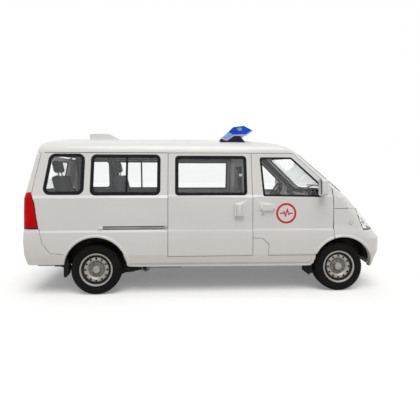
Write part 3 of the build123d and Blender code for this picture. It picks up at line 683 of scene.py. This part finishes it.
def makeNuts(look):
    points = [(s * look["size"] * cos(pi * i / 3), s * look["size"] * sin(pi * i / 3), look["height"] * z)
              for z, s in look["steps"] for i in range(6)]
    rings = len(look["steps"])
    faces = [tuple(range(6 * rings - 6, 6 * rings))] + ringFaces(rings, 6)
    return ringMesh(tidyMesh(meshFrom(points, faces)), look["count"], look["ring"], look["phase"])


# dark cups in the ring of holes, painting the shade seen through them
holeLook = {"count": 12, "ring": 0.13, "radius": 0.0102, "edge": 0.0128, "deep": 0.0185, "face": 0.0705}


def makeHoles(look):
    r, edge, deep = look["radius"], look["edge"], look["deep"]
    cup = [(r, -deep), (r, 0.0), (edge, -0.0006), (edge - 0.001, 0.0006), (r - 0.0006, 0.0006),
           (r - 0.0006, 0.001 - deep), (0.0001, 0.001 - deep), (0.0001, -deep)]
    return ringMesh(spinMesh(cup, 20), look["count"], look["ring"], 0.0)


# thin skins over the rim: painted shade in the well inside the flange, and the cast hub face
rimSkins = {
    "rim_well_shade": ([(0.1765, 0.077), (0.1675, 0.0535), (0.1535, 0.0475), (0.1465, 0.065)], 0.001, paintedWheelShade),
    "hub_face": ([(0.095, 0.0535), (0.088, 0.047), (0.08, 0.0482), (0.066, 0.05), (0.0585, 0.051),
                  (0.0505, 0.0625), (0.0435, 0.0725)], 0.0008, hubGrey),
}
wheelParts = [("wheel_nuts", makeNuts(nutLook), nutLook["seat"], castGrey, 30.0, "steel"),
              ("rim_hole_shades", makeHoles(holeLook), holeLook["face"], paintedWheelShade, 40.0, None)]
for name, (line, wall, finish) in rimSkins.items():
    skin = spinMesh(line + [(r, z + wall) for r, z in reversed(line)], 72)
    wheelParts.append((name, skin, 0.0, finish, 40.0, None))
tyreMesh = makeTyre(tyreLook)
wheelPlaces = {"x": {"front": 1.61, "rear": -1.35}, "y": 0.717, "z": 0.3}
for end, x in wheelPlaces["x"].items():
    for side, sign in (("left", 1.0), ("right", -1.0)):
        spot = end + "_" + side
        centre = Matrix.Translation((x, sign * wheelPlaces["y"], wheelPlaces["z"]))
        upright = centre @ Matrix.Rotation(-sign * pi / 2, 4, "X")
        tyre = addPiece("treaded_tyre_" + spot, movedCopy(tyreMesh, upright), tyreRubber, "wheel_" + spot, 28.0)
        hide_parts("tyre_" + spot)
        for name, mesh, lift, finish, smooth, slot in wheelParts:
            seat = upright @ Matrix.Translation((0.0, 0.0, lift))
            addPiece(name + "_" + spot, movedCopy(mesh, seat), finish, "wheel_" + spot, smooth, slot)
print("wheels done")

# lamps

lampLook = {
    "cover": 0.003, "tub": 0.002, "bowls": [(0.52, 0.9, 0.05), (0.64, 0.85, 0.048)], "depth": 0.028, "sunk": -0.009,
    "wall": 0.0015, "bulb": [(0.0001, -0.004), (0.004, -0.005), (0.0065, -0.009), (0.0065, -0.022), (0.009, -0.024),
                             (0.009, -0.0275), (0.0001, -0.0275)],
}


# a lamp's outer faces and the rest of it
def splitLamp(node, outward, limit):
    halves = []
    for keep in (True, False):
        mesh = cleanCopy(node)
        work = openWork(mesh)
        drop = []
        for face in work.faces:
            sign = 1.0 if face.calc_center_median().y > 0 else -1.0
            way = Vector((outward[0], outward[1] * sign, outward[2])).normalized()
            if (face.normal.dot(way) > limit) != keep:
                drop.append(face)
        bmesh.ops.delete(work, geom=drop, context="FACES")
        halves.append(closeWork(work, mesh))
    return halves


def spunAt(seat, profile, steps):
    return movedCopy(spinMesh(profile, steps), seat)


lampFront, lampBack = splitLamp("headlamps", (1.0, 0.75, 0.45), 0.55)
tailBack = splitLamp("tail_lamps", (-1.0, 0.75, 0.2), 0.1)[1]
for name, mesh, finish, wall, offset in (
        ("headlamp_covers", lampFront, lampClear, lampLook["cover"], -1.0),
        ("headlamp_tubs", lampBack, reflector, lampLook["tub"], -1.0),
        ("tail_lamp_housings", tailBack, blackPlastic, lampLook["tub"], 1.0)):
    piece = addPiece(name, mesh, finish)
    addStep(piece, "SOLIDIFY", thickness=wall, offset=offset)
    if mesh is not tailBack:
        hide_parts("headlamps")

lampTree = castTree("headlamps")
bowls, bulbs = [], []
for y, z, radius in lampLook["bowls"]:
    shares = [0.15 + 0.85 * k / 8 for k in range(9)]
    dish = [(radius * share, -lampLook["depth"] * (1.0 - share ** 2)) for share in shares]
    dish += [(r, along - lampLook["wall"]) for r, along in reversed(dish)]
    seat = seatOn(*onFront(lampTree, -y, z), lampLook["sunk"])
    bowls.append(spunAt(seat, dish, 40))
    bulbs.append(spunAt(seat, lampLook["bulb"], 20))
addPair("headlamp_bowls", bowls, reflector)
addPair("headlamp_bulbs", bulbs, bareSteel)

# dark seals along lamp edges, laid on the skin of the lamp
lampEdges = {
    "tail": ("tail_lamps", [(-2.262, 0.806), (-2.018, 0.806), (-2.062, 1.106), (-2.106, 1.19)], 0.009, seamDark),
    "head": ("headlamps", [(1.806, 0.985), (1.82, 0.905), (1.906, 0.77), (1.985, 0.77)], 0.006, greyPlastic),
}
for name, (node, corners, width, finish) in lampEdges.items():
    skinTree = castTree(node)
    path = []
    for first, last in zip(corners, corners[1:]):
        for x, z in spread(first, last, 7):
            place, normal = onSide(skinTree, x, z)
            if place is not None and (not path or (place - path[-1]).length > 0.004):
                path.append(place + normal * 0.0008)
    addPair(name + "_lamp_seals", [trimMesh(path, toRight, 0.003, width, 0.0008)], finish, slot="rubber_black")

# side repeater on each fender
repeater = {
    "x": 1.746, "z": 0.85,
    "dome": [(0.0001, 0.009), (0.011, 0.0081), (0.0187, 0.00495), (0.022, 0.002), (0.022, -0.004), (0.0001, -0.004)],
    "ring": [(0.0215, 0.0045), (0.024, 0.004), (0.0255, 0.0015), (0.0255, -0.002), (0.0215, -0.002)],
}
seat = seatOn(*onSide(castTree("fenders"), repeater["x"], repeater["z"]))
addPair("side_repeaters", [spunAt(seat, repeater["dome"], 32)], lampClear)
addPair("repeater_rings", [spunAt(seat, repeater["ring"], 32)], panelGrey)
print("lamps done")

# light bar: eased lens, slanted front of the foot, strips on its ends, and pale plates on its ends that paint
# highlights on the lens

barLook = {
    "half": 0.6, "strip": 0.018, "stand": 0.004, "sunk": 0.001, "ease": 0.012, "pane": 0.0035, "paneEase": 0.0012,
    "footAt": (0.436, 0.0, 1.911), "footWay": (0.057, 0.0, 0.047),
    "line": [(0.178, 1.912), (0.206, 1.892), (0.248, 1.877), (0.336, 1.94), (0.494, 1.942), (0.575, 1.998)],
    "panes": [[(0.204, 1.9), (0.262, 1.982), (0.318, 1.958), (0.318, 1.936), (0.248, 1.886)],
              [(0.372, 2.02), (0.4, 2.04), (0.436, 2.036), (0.44, 2.006), (0.408, 1.992)]],
}
lens = bpy.data.objects["dressed_light_bar_lens"]
addStep(lens, "BEVEL", width=barLook["ease"], segments=3, limit_method="ANGLE")
footMesh = bpy.data.objects["dressed_light_bar_base"].data
work = openWork(footMesh)
cutWork(work, barLook["footAt"], barLook["footWay"], clear_outer=True)
closeWork(work, footMesh)
line = [(x, -barLook["half"] - barLook["sunk"], z) for x, z in barLook["line"]]
addPair("light_bar_strips", [trimMesh(line, toRight, barLook["stand"], barLook["strip"], 0.0015)], stripPale)
panes = [makePlate(pane, -barLook["half"] - barLook["pane"], -barLook["half"], barLook["paneEase"], True)
         for pane in barLook["panes"]]
addPair("light_bar_panes", panes, paintedHighlightBlue)
print("light bar done")

# pressed ribs along the roof, clear of its vent
ribLook = {"places": (-0.42, -0.21, 0.0, 0.21, 0.42), "long": [(-1.88, 0.02)],
           "split": [(-1.88, -1.66), (-1.18, 0.02)], "vent": 0.25, "section": (0.009, 0.042, 0.0042), "sunk": -0.0015}
top = rayStart["above"]
roofTree = castTree("roof_panel")
ribs = []
for y in ribLook["places"]:
    for a, b in ribLook["split" if abs(y) < ribLook["vent"] else "long"]:
        ribs.append(skinStrip(roofTree, (a, y, top), (b, y, top), 24, down, ribLook["sunk"], up, *ribLook["section"]))
addPiece("roof_ribs", joinMeshes(ribs), whitePaint, smooth=60.0)
print("roof ribs done")

# side trim: door rails, grips, lips, flaps, springs, seals, locks, mark, and grey or black strips of painted shade by
# the rail, the grip and the sill edge

blockPieces = {
    "door_rails": (railSteel, [((-1.262, -0.8242, 0.7905), (-0.537, -0.8182, 0.8125), 0.0015),
                               ((-0.537, -0.8335, 0.7835), (-0.501, -0.829, 0.8215), 0.001)]),
    # dark strips above and below the rail: painted shade in the slot's gaps
    "rail_shade_strips": (gasketRubber, [((-1.262, -0.8272, 0.7835), (-0.537, -0.8182, 0.7895), 0.001),
                                 ((-1.262, -0.8272, 0.8135), (-0.537, -0.8182, 0.8215), 0.001)]),
    "rail_stops": (whitePaint, [((-1.318, -0.842, 0.786), (-1.264, -0.828, 0.818), 0.006)]),
    "slide_grips": (whitePaint, [((0.336, -0.868, 0.936), (0.386, -0.852, 1.08), 0.006)]),
    # thin grey strips beside the grip: painted shade along its edges
    "slide_grip_shade_lines": (panelGrey, [((0.324, -0.8588, 0.944), (0.331, -0.8572, 1.07), 0.0007),
                                    ((0.391, -0.8588, 0.944), (0.398, -0.8572, 1.07), 0.0007)]),
}
for name, (finish, blocks) in blockPieces.items():
    addPair(name, [softBlock(*block) for block in blocks], finish)

# rolled lips round the wheel arches, split where the door takes over
archLip = {"radius": 0.386, "width": 0.03, "thickness": 0.012, "corner": 0.0045, "lift": 0.002, "steps": 56,
           "start": 2.0, "sweep": 176.0, "doorSkin": -0.7, "bodySkin": -0.6}
archPlaces = {"rear": ((-1.35, 0.322), ["side_panels", "rear_bumper"]),
              "front": ((1.65, 0.3), ["sills", "fenders", "front_bumper"])}
doorTree = castTree("front_door_right")
lipRuns = {"body": [], "door": [], None: []}
for end, ((cx, cz), names) in archPlaces.items():
    bodySkin = castTree(*names)
    runOn = None
    for k in range(archLip["steps"] + 1):
        turn = radians(archLip["start"] + archLip["sweep"] * k / archLip["steps"])
        x, z = cx - archLip["radius"] * cos(turn), cz + archLip["radius"] * sin(turn)
        hit, facing = onSide(doorTree, x, z) if end == "front" else (None, None)
        on = "door" if hit is not None and hit.y < archLip["doorSkin"] else "body"
        if on == "body":
            hit, facing = onSide(bodySkin, x, z)
            if hit is None or hit.y > archLip["bodySkin"]:
                on = None
        if k == 0 or on != runOn:
            lipRuns[on].append([])
            runOn = on
        if on:
            lipRuns[on][-1].append(hit + facing * archLip["lift"])


def archLips(on):
    return [trimMesh(run, toRight, archLip["thickness"], archLip["width"], archLip["corner"])
            for run in lipRuns[on] if len(run) > 2]


addPair("arch_lips", archLips("body"), whitePaint, smooth=50.0)
addToDoors("door_lip", joinMeshes(archLips("door")), whitePaint, 50.0)

# side wing of each flap
wing = {
    "outer": -0.783, "inner": -0.7, "ease": 0.003,
    "lines": [[(1.239, 0.346), (1.283, 0.346), (1.283, 0.242), (1.27, 0.212), (1.239, 0.226)],
              [(-1.735, 0.34), (-1.712, 0.44), (-1.69, 0.44), (-1.674, 0.38), (-1.671, 0.29), (-1.68, 0.245),
               (-1.694, 0.22), (-1.712, 0.208), (-1.728, 0.212), (-1.735, 0.226)]],
}
wings = [makePlate(line, wing["outer"], wing["inner"], wing["ease"]) for line in wing["lines"]]
addPair("flap_wings", wings, gasketRubber)

# eyes, lower leaves and hanger plates of the rear springs
spring = {
    "y": -0.58, "width": 0.052, "thickness": 0.008, "steps": 24,
    "leaves": [(-1.76, -0.92, 0.004), (-1.64, -1.05, 0.014)],
    "hanger": [(-1.11, 0.352), (-0.855, 0.334), (-0.855, 0.262), (-0.92, 0.258), (-1.11, 0.235)],
    "plate": (-0.618, -0.606), "ease": 0.002, "seat": (-0.778, -0.548, 0.274),
    "eye": [(0.014, 0.0), (0.052, 0.0), (0.055, 0.004), (0.055, 0.07), (0.042, 0.074), (0.036, 0.064),
            (0.014, 0.064)],
}
eyeSeat = Matrix.Translation(spring["seat"]) @ Matrix.Rotation(pi / 2, 4, "X")
addPair("spring_eyes", [spunAt(eyeSeat, spring["eye"], 32)], castGrey)
leafTree = castTree("leaf_springs")
springParts = [makePlate(spring["hanger"], *spring["plate"], spring["ease"])]
for x0, x1, below in spring["leaves"]:
    starts = spread((x0, spring["y"], rayStart["below"]), (x1, spring["y"], rayStart["below"]), spring["steps"])
    path = [place - Vector((0.0, 0.0, below)) for place in skinPath(leafTree, starts, up)]
    springParts.append(trimMesh(path, down, spring["thickness"], spring["width"], spring["ease"]))
addPair("spring_leaves", springParts, chassisBlack)

# lip along the lower edge of each side, and a grey strip above it that paints the shadow line over the lip
edgeLook = {"x": (-1.01, 1.3), "steps": 42, "under": (-0.84, -0.72), "cuts": 20, "flat": 0.003,
            "drop": (-0.003, 0.012), "lip": (0.006, 0.024), "seal": (0.004, 0.026), "shadowLineRise": 0.023,
            "corner": 0.0005}
edgeTrees = [castTree("side_panels"), castTree("sills")]
lipLine, shadowLinePath = [], []
for x, drop in spread(*zip(edgeLook["x"], edgeLook["drop"]), edgeLook["steps"]):
    starts = spread(*((x, y, rayStart["below"]) for y in edgeLook["under"]), edgeLook["cuts"])
    feet = [place for tree in edgeTrees for place in skinPath(tree, starts, up)]
    low = min(place.z for place in feet)
    y = min(place.y for place in feet if place.z < low + edgeLook["flat"])
    lipLine.append((x, y, low - drop))
    z = low - drop + edgeLook["shadowLineRise"]
    faces = [onSide(tree, x, z)[0] for tree in edgeTrees]
    shadowLinePath.append((x, min(place.y for place in faces if place is not None), z))
for name, line, finish in (("lip", lipLine, whitePaint), ("seal", shadowLinePath, panelGrey)):
    addPair("edge_%ss" % name, [trimMesh(line, toRight, *edgeLook[name], edgeLook["corner"])], finish)

# painted lip over the cut between hood and screen frame, on each side
hoodLip = {"z": (1.034, 1.144), "x": 1.66, "step": 0.002, "tries": 60, "skin": -0.7, "lift": 0.001, "back": 0.003}
hoodTree = castTree("hood")
lipPath = []
for (z,) in spread(hoodLip["z"][:1], hoodLip["z"][1:], 8):
    for step in range(hoodLip["tries"]):
        place, normal = onSide(hoodTree, hoodLip["x"] + hoodLip["step"] * step, z)
        if place is not None and place.y < hoodLip["skin"]:
            lipPath.append(place + normal * hoodLip["lift"] - Vector((hoodLip["back"], 0.0, 0.0)))
            break
addPair("hood_lips", [trimMesh(lipPath, toRight, 0.004, 0.022, 0.0015)], whitePaint, body="hood")

gutter = {"x": (-1.975, -0.503), "z": 1.7035, "width": 0.006, "sunk": 0.001}
ends = [(x, gutter["z"]) for x in gutter["x"]]
line = [onWall(x, z, gutter["sunk"]) for x, z in spread(*ends, 6)]
addPair("gutter_seals", [trimMesh(line, sideLean, 0.006, gutter["width"], 0.001)], gasketRubber)

lock = {"x": 0.652, "z": 0.954,
        "barrel": [(0.0001, 0.0015), (0.004, 0.0015), (0.0045, 0.0005), (0.0075, 0.0005), (0.008, 0.003),
                   (0.011, 0.0028), (0.012, 0.001), (0.012, -0.004), (0.0001, -0.004)]}
addToDoors("door_lock", spunAt(seatOn(*onSide(doorTree, lock["x"], lock["z"])), lock["barrel"], 28), bareSteel)

# plain ring with a pulse line on each front door
mark = {
    "x": 0.94, "z": 0.967, "radius": 0.112, "ring": 0.026, "line": 0.015, "stand": 0.0016, "lift": 0.0002,
    "corner": 0.0004,
    "pulse": [(-0.082, 0.0), (-0.04, 0.0), (-0.026, 0.022), (-0.01, -0.042), (0.012, 0.056), (0.03, -0.02),
              (0.04, 0.0), (0.082, 0.0)],
}


def markStrip(places, width, closed):
    hits = [onSide(doorTree, mark["x"] + x, mark["z"] + z) for x, z in places]
    path = [place + normal * mark["lift"] for place, normal in hits]
    return trimMesh(path, toRight, mark["stand"], width, mark["corner"], closed)


turns = [2 * pi * k / 64 - pi / 2 for k in range(64)]
circle = [(mark["radius"] * cos(turn), mark["radius"] * sin(turn)) for turn in turns]
pulse = [(x0 + (x1 - x0) * share, z0 + (z1 - z0) * share)
         for (x0, z0), (x1, z1) in zip(mark["pulse"], mark["pulse"][1:]) for share in (0.06, 0.5, 0.94)]
markParts = [markStrip(circle, mark["ring"], True), markStrip(pulse, mark["line"], False)]
addToDoors("door_mark", joinMeshes(markParts), markRed)
print("side trim done")

# mirrors and wipers

mirrorLook = {"low": (1.335, -0.95, 1.18), "high": (1.425, -0.84, 1.385), "round": 0.04, "rim": 0.005, "wall": 0.002,
              "deep": 0.018, "glass": (-0.003, -0.0005), "fit": 0.985}


# a case with a rounded front, hollowed at the back for the glass
def makeMirror(look):
    low, high = look["low"], look["high"]
    work = openWork(softBlock((2.0 * low[0] - high[0], low[1], low[2]), high, look["round"], 7))
    back = cutWork(work, (low[0] + 0.001, 0.0, 0.0), toFront, clear_inner=True)
    bmesh.ops.recalc_face_normals(work, faces=work.faces)
    bmesh.ops.inset_individual(work, faces=back, thickness=look["rim"], depth=0.0)
    bmesh.ops.inset_individual(work, faces=back, thickness=look["wall"], depth=-look["deep"])
    outline = [v.co.copy() for v in back[0].verts]
    case = closeWork(work)
    count = len(outline)
    mid = sum(outline, Vector()) / count
    rings = [mid + (p - mid) * look["fit"] + Vector((step, 0.0, 0.0)) for step in look["glass"] for p in outline]
    caps = [tuple(range(count)), tuple(range(2 * count - 1, count - 1, -1))]
    arm = softBlock((1.375, -0.9, 1.178), (1.405, -0.817, 1.205), 0.006)
    return joinMeshes([case, arm]), tidyMesh(meshFrom(rings, caps + ringFaces(2, count)))


caseMesh, plateMesh = makeMirror(mirrorLook)
for side in ("right", "left"):
    case = addToDoor(side, "mirror_case", caseMesh, whitePaint)
    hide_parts("door_mirror_" + side)
    addToDoor(side, "mirror_plate", plateMesh, mirrorGlass)

wiper = {
    "pivots": (0.42, -0.16), "reach": 0.52, "low": 1.262, "high": 1.272, "lift": 0.016, "blade": (0.012, 0.01, 0.002),
    "arm": [(0.0, 1.232, 0.014), (0.1, 1.246, 0.026), (0.26, 1.266, 0.024)], "bar": (0.006, 0.014, 0.002),
    "facing": (1.0, 0.0, 0.9), "foot": (1.232, 0.01),
    "cap": [(0.0001, 0.014), (0.01, 0.013), (0.014, 0.008), (0.015, -0.016), (0.0001, -0.016)],
}
screenTree = castTree("windscreen")
ahead = rayStart["front"]
wiperParts = []
for y in wiper["pivots"]:
    ends = (ahead, y, wiper["low"]), (ahead, y - wiper["reach"], wiper["high"])
    wiperParts.append(skinStrip(screenTree, *ends, 8, toBack, wiper["lift"], wiper["facing"], *wiper["blade"]))
    arm = []
    for along, z, lift in wiper["arm"]:
        arm += skinPath(screenTree, [(ahead, y - along, z)], toBack, lift)
    wiperParts.append(trimMesh(arm, wiper["facing"], *wiper["bar"]))
    z, lift = wiper["foot"]
    wiperParts.append(spunAt(seatOn(*onFront(screenTree, y, z), lift), wiper["cap"], 20))
addPiece("wipers", joinMeshes(wiperParts), blackPlastic)
print("mirrors and wipers done")

# seats

seatLook = {
    "voxel": 0.012, "pressure": 4.0, "cap": 0.01, "frames": 20, "longest": 0.045, "flank": 0.45, "waist": 0.012,
    "places": [("front", 0.765, 0.375, 0.68, 0.86), ("front", 0.765, -0.375, 0.68, 0.86),
               ("rear", -1.01, -0.38, 0.46, 0.87), ("rear", -1.8, -0.33, 0.46, 0.87)],
    "lean": -14.0, "back": (0.02, -0.04), "fill": 0.8,
    "post": [(0.0001, 0.672), (0.006, 0.671), (0.007, 0.668), (0.007, 0.59), (0.0001, 0.59)],
}


# a pad block cut fine enough to swell, with bolsters down its sides
def padBlock(low, high, radius, bolster, hollow, face):
    work = openWork(softBlock(low, high, radius, 4))
    for _ in range(3):
        long = [e for e in work.edges if e.calc_length() > seatLook["longest"]]
        bmesh.ops.subdivide_edges(work, edges=long, cuts=1, use_grid_fill=True)
    mid = [(a + b) / 2 for a, b in zip(low, high)]
    half = [(b - a) / 2 for a, b in zip(low, high)]
    for v in work.verts:
        u = (v.co.y - mid[1]) / half[1]
        top = (v.co[face] - mid[face]) / half[face]
        if top > 0.5:
            v.co[face] += bolster * max(0.0, abs(u) - seatLook["flank"]) - hollow * max(0.0, 1.0 - abs(u) * 1.8)
        v.co.y -= seatLook["waist"] * u * (1.0 - top * top)
    return closeWork(work)


# a pad blown up by a short cloth run, held along its seams
def swellPad(mesh, look, seams):
    pad = bpy.data.objects.new("pad", mesh)
    scene.collection.objects.link(pad)
    addStep(pad, "REMESH", mode="VOXEL", voxel_size=look["voxel"])
    pad.data = finalMesh(pad)
    pad.modifiers.clear()
    rest = [v.co.copy() for v in pad.data.vertices]
    held = pad.vertex_groups.new(name="seams")
    for v in pad.data.vertices:
        if any(abs(v.co[axis] - at) < look["voxel"] * 0.75 for axis, at in seams):
            held.add([v.index], 1.0, "REPLACE")
    cloth = addStep(pad, "CLOTH").settings
    cloth.use_pressure = True
    cloth.uniform_pressure_force = look["pressure"]
    cloth.effector_weights.gravity = 0.0
    cloth.vertex_group_mass = "seams"
    cloth.pin_stiffness = 1.0
    for step in range(1, look["frames"] + 1):
        scene.frame_set(step)
    swollen = finalMesh(pad)
    for v, start in zip(swollen.vertices, rest):
        move = v.co - start
        if move.length > look["cap"]:
            v.co = start + move.normalized() * look["cap"]
    pad.modifiers.clear()
    pad.data = swollen
    scene.frame_set(1)
    addStep(pad, "SUBSURF", levels=1, render_levels=1)
    made = finalMesh(pad)
    bpy.data.objects.remove(pad)
    return made


padLooks = {
    "cushion": (((0.008, -0.227, -0.122), (0.462, 0.227, -0.01), 0.035, 0.05, 0.012, 2), [(1, -0.135), (1, 0.135)]),
    "backrest": (((-0.057, -0.222, 0.008), (0.036, 0.222, 0.612), 0.03, 0.05, 0.01, 0),
                 [(1, -0.13), (1, 0.13), (2, 0.33)]),
    "headrest": (((-0.042, -0.127, 0.653), (0.032, 0.127, 0.817), 0.028, 0.0, 0.004, 0), []),
}
padMeshes = {label: swellPad(padBlock(*block), seatLook, seams) for label, (block, seams) in padLooks.items()}


def seatFrame(base, cushion):
    parts = [softBlock((0.06, -0.19, base), (0.42, 0.19, base + 0.02), 0.006)]
    for y in (-0.175, 0.175):
        parts.append(softBlock((0.07, y - 0.02, base + 0.016), (0.41, y + 0.02, cushion - 0.1), 0.008))
    parts.append(softBlock((0.04, -0.205, cushion - 0.122), (0.44, 0.205, cushion - 0.098), 0.008))
    return joinMeshes(parts)


postMesh = joinMeshes([spunAt(Matrix.Translation((-0.005, y, 0.0)), seatLook["post"], 16) for y in (-0.06, 0.06)])
frames, posts = {"front": [], "rear": []}, {"front": [], "rear": []}
for number, (row, x, y, base, top) in enumerate(seatLook["places"], 1):
    forward, rise = seatLook["back"]
    lean = Matrix.Translation((x + forward, y, top + rise)) @ Matrix.Rotation(radians(seatLook["lean"]), 4, "Y")
    for label, mesh in padMeshes.items():
        place = Matrix.Translation((x, y, top)) if label == "cushion" else lean
        piece = addPiece("seat%d_%s" % (number, label), movedCopy(mesh, place), seatCloth, smooth=60.0)
        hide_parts(row + "_seats")
    frames[row].append(movedCopy(seatFrame(base, top), Matrix.Translation((x, y, 0.0))))
    posts[row].append(movedCopy(postMesh, lean))
for row in ("front", "rear"):
    base = addPiece(row + "_seat_frames", joinMeshes(frames[row]), blackPlastic)
    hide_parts(row + "_seats")
    stems = addPiece(row + "_headrest_posts", joinMeshes(posts[row]), castGrey, slot="steel")
    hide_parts(row + "_seats")
print("seats done")

# dashboard and intake detail

ventLook = {"half": (0.055, 0.03), "slats": 5, "places": (-0.6, -0.085, 0.085, 0.6), "from": 0.9, "z": 1.02,
            "round": 0.012, "rim": (0.012, 0.01, 0.003), "sunk": -0.004}
dashTree = castTree("dashboard")
w, h = ventLook["half"]
outline = roundOutline([(-w, -h), (-w, h), (w, h), (w, -h)], ventLook["round"])
vents = []
for y in ventLook["places"]:
    place, normal = onSkin(dashTree, (ventLook["from"], y, ventLook["z"]), toFront)
    aim = Matrix.Translation(place) @ Matrix.Rotation(atan2(normal.z, -normal.x), 4, "Y")
    ring = trimMesh([Vector((ventLook["sunk"], p.x, p.y)) for p in outline], toBack, *ventLook["rim"], True)
    slat = softBlock((-0.006, -w + 0.004, -h + 0.006), (-0.001, w - 0.004, -h + 0.0085), 0.0008, 1)
    step = (0.0, 0.0, (2 * h - 0.014) / (ventLook["slats"] - 1))
    slats = runTree("row", slat, {"Count": ventLook["slats"], "Step": step})
    vents += [movedCopy(ring, aim), movedCopy(slats, aim)]
addPiece("dash_vents", joinMeshes(vents), blackPlastic)

binnacle = {"y": 0.37, "half": 0.17, "x0": 1.43, "x1": 1.6, "top": 1.175, "spring": 1.07, "back": 1.15,
            "foot": 1.06, "lip": 0.02, "steps": 12}
x0, x1, foot = binnacle["x0"], binnacle["x1"], binnacle["foot"]
hoodPoints = []
for k in range(binnacle["steps"] + 1):
    turn = pi * k / binnacle["steps"]
    y = binnacle["y"] + binnacle["half"] * cos(turn)
    z = binnacle["spring"] + (binnacle["top"] - binnacle["spring"]) * sin(turn)
    hoodPoints += [(x0, y, z), (x1, y, min(z, binnacle["back"])), (x1, y, foot), (x0 + binnacle["lip"], y, foot)]
hoodFaces = ringFaces(binnacle["steps"] + 1, 4) + [(3, 2, 1, 0), (48, 49, 50, 51)]
addPiece("instrument_hood", tidyMesh(meshFrom(hoodPoints, hoodFaces)), greyPlastic, smooth=35.0)

intake = {"half": 0.385, "z": 0.41, "step": 0.022, "bars": 5, "lift": 0.008, "section": (0.014, 0.009, 0.002)}
bumperTree = castTree("front_bumper")
intakeBars = []
for k in range(intake["bars"]):
    z = intake["z"] + k * intake["step"]
    ends = (ahead, -intake["half"], z), (ahead, intake["half"], z)
    intakeBars.append(skinStrip(bumperTree, *ends, 14, toBack, intake["lift"], toFront, *intake["section"]))
addPiece("intake_bars", joinMeshes(intakeBars), blackPlastic)
print("dash and intake done")

# floor, light, camera

stageLook = {"floor": (0.88, 0.875, 0.865), "bounce": (0.5, 0.47, 0.43), "fill": 0.2, "world": 0.45, "sun": 1.78,
             "soft": 40.0, "lean": (25.0, 1.5), "reach": 60}


# 1 for what the eye sees straight, in a reflection or through glass
def seenDirectly(tree):
    ray = tree.nodes.new("ShaderNodeLightPath").outputs
    mirrored = addMath(tree, "MAXIMUM", ray["Is Camera Ray"], ray["Is Glossy Ray"])
    return addMath(tree, "MAXIMUM", mirrored, ray["Is Transmission Ray"])


far = stageLook["reach"]
floorMesh = meshFrom([(-far, -far, 0), (far, -far, 0), (far, far, 0), (-far, far, 0)], [(0, 1, 2, 3)])
floor = bpy.data.objects.new("floor", floorMesh)
scene.collection.objects.link(floor)
ground = bpy.data.materials.new("paleFloor")
ground.use_nodes = True
tree = ground.node_tree
tree.nodes.clear()
seen = seenDirectly(tree)
tone = addBlend(tree, seen, (*stageLook["bounce"], 1.0), (*stageLook["floor"], 1.0))
fill = addNode(tree, "ShaderNodeMapRange", {"Value": seen, "To Max": stageLook["fill"]})
plain = addNode(tree, "ShaderNodeBsdfDiffuse", {"Color": tone})
glow = addNode(tree, "ShaderNodeEmission", {"Strength": fill.outputs["Result"]})
total = addNode(tree, "ShaderNodeAddShader", {0: plain.outputs[0], 1: glow.outputs[0]})
addNode(tree, "ShaderNodeOutputMaterial", {"Surface": total.outputs[0]})
floorMesh.materials.append(ground)

world = bpy.data.worlds.new("studio")
scene.world = world
world.use_nodes = True
tree = world.node_tree
span = addNode(tree, "ShaderNodeMapRange", {"Value": seenDirectly(tree), "To Min": stageLook["world"], "To Max": 1.0})
setInputs(tree, tree.nodes["Background"], {"Color": (1.0, 1.0, 1.0, 1.0), "Strength": span.outputs["Result"]})

sun = bpy.data.lights.new("overhead", "SUN")
sun.energy = stageLook["sun"]
sun.angle = radians(stageLook["soft"])
lamp = bpy.data.objects.new("overhead", sun)
lamp.rotation_euler = (radians(stageLook["lean"][0]), radians(stageLook["lean"][1]), 0.0)
scene.collection.objects.link(lamp)

eye = bpy.data.cameras.new("eye")
eye.sensor_width = 36.0
eye.lens = 27.63
eye.shift_x = 0.0357
eye.shift_y = -0.0824
camera = bpy.data.objects.new("eye", eye)
camera.location = (-0.358, -4.693, 1.427)
camera.rotation_euler = (radians(90.0), 0.0, radians(-2.78))
scene.collection.objects.link(camera)
scene.camera = camera
scene.view_settings.view_transform = "Standard"
print("stage done")
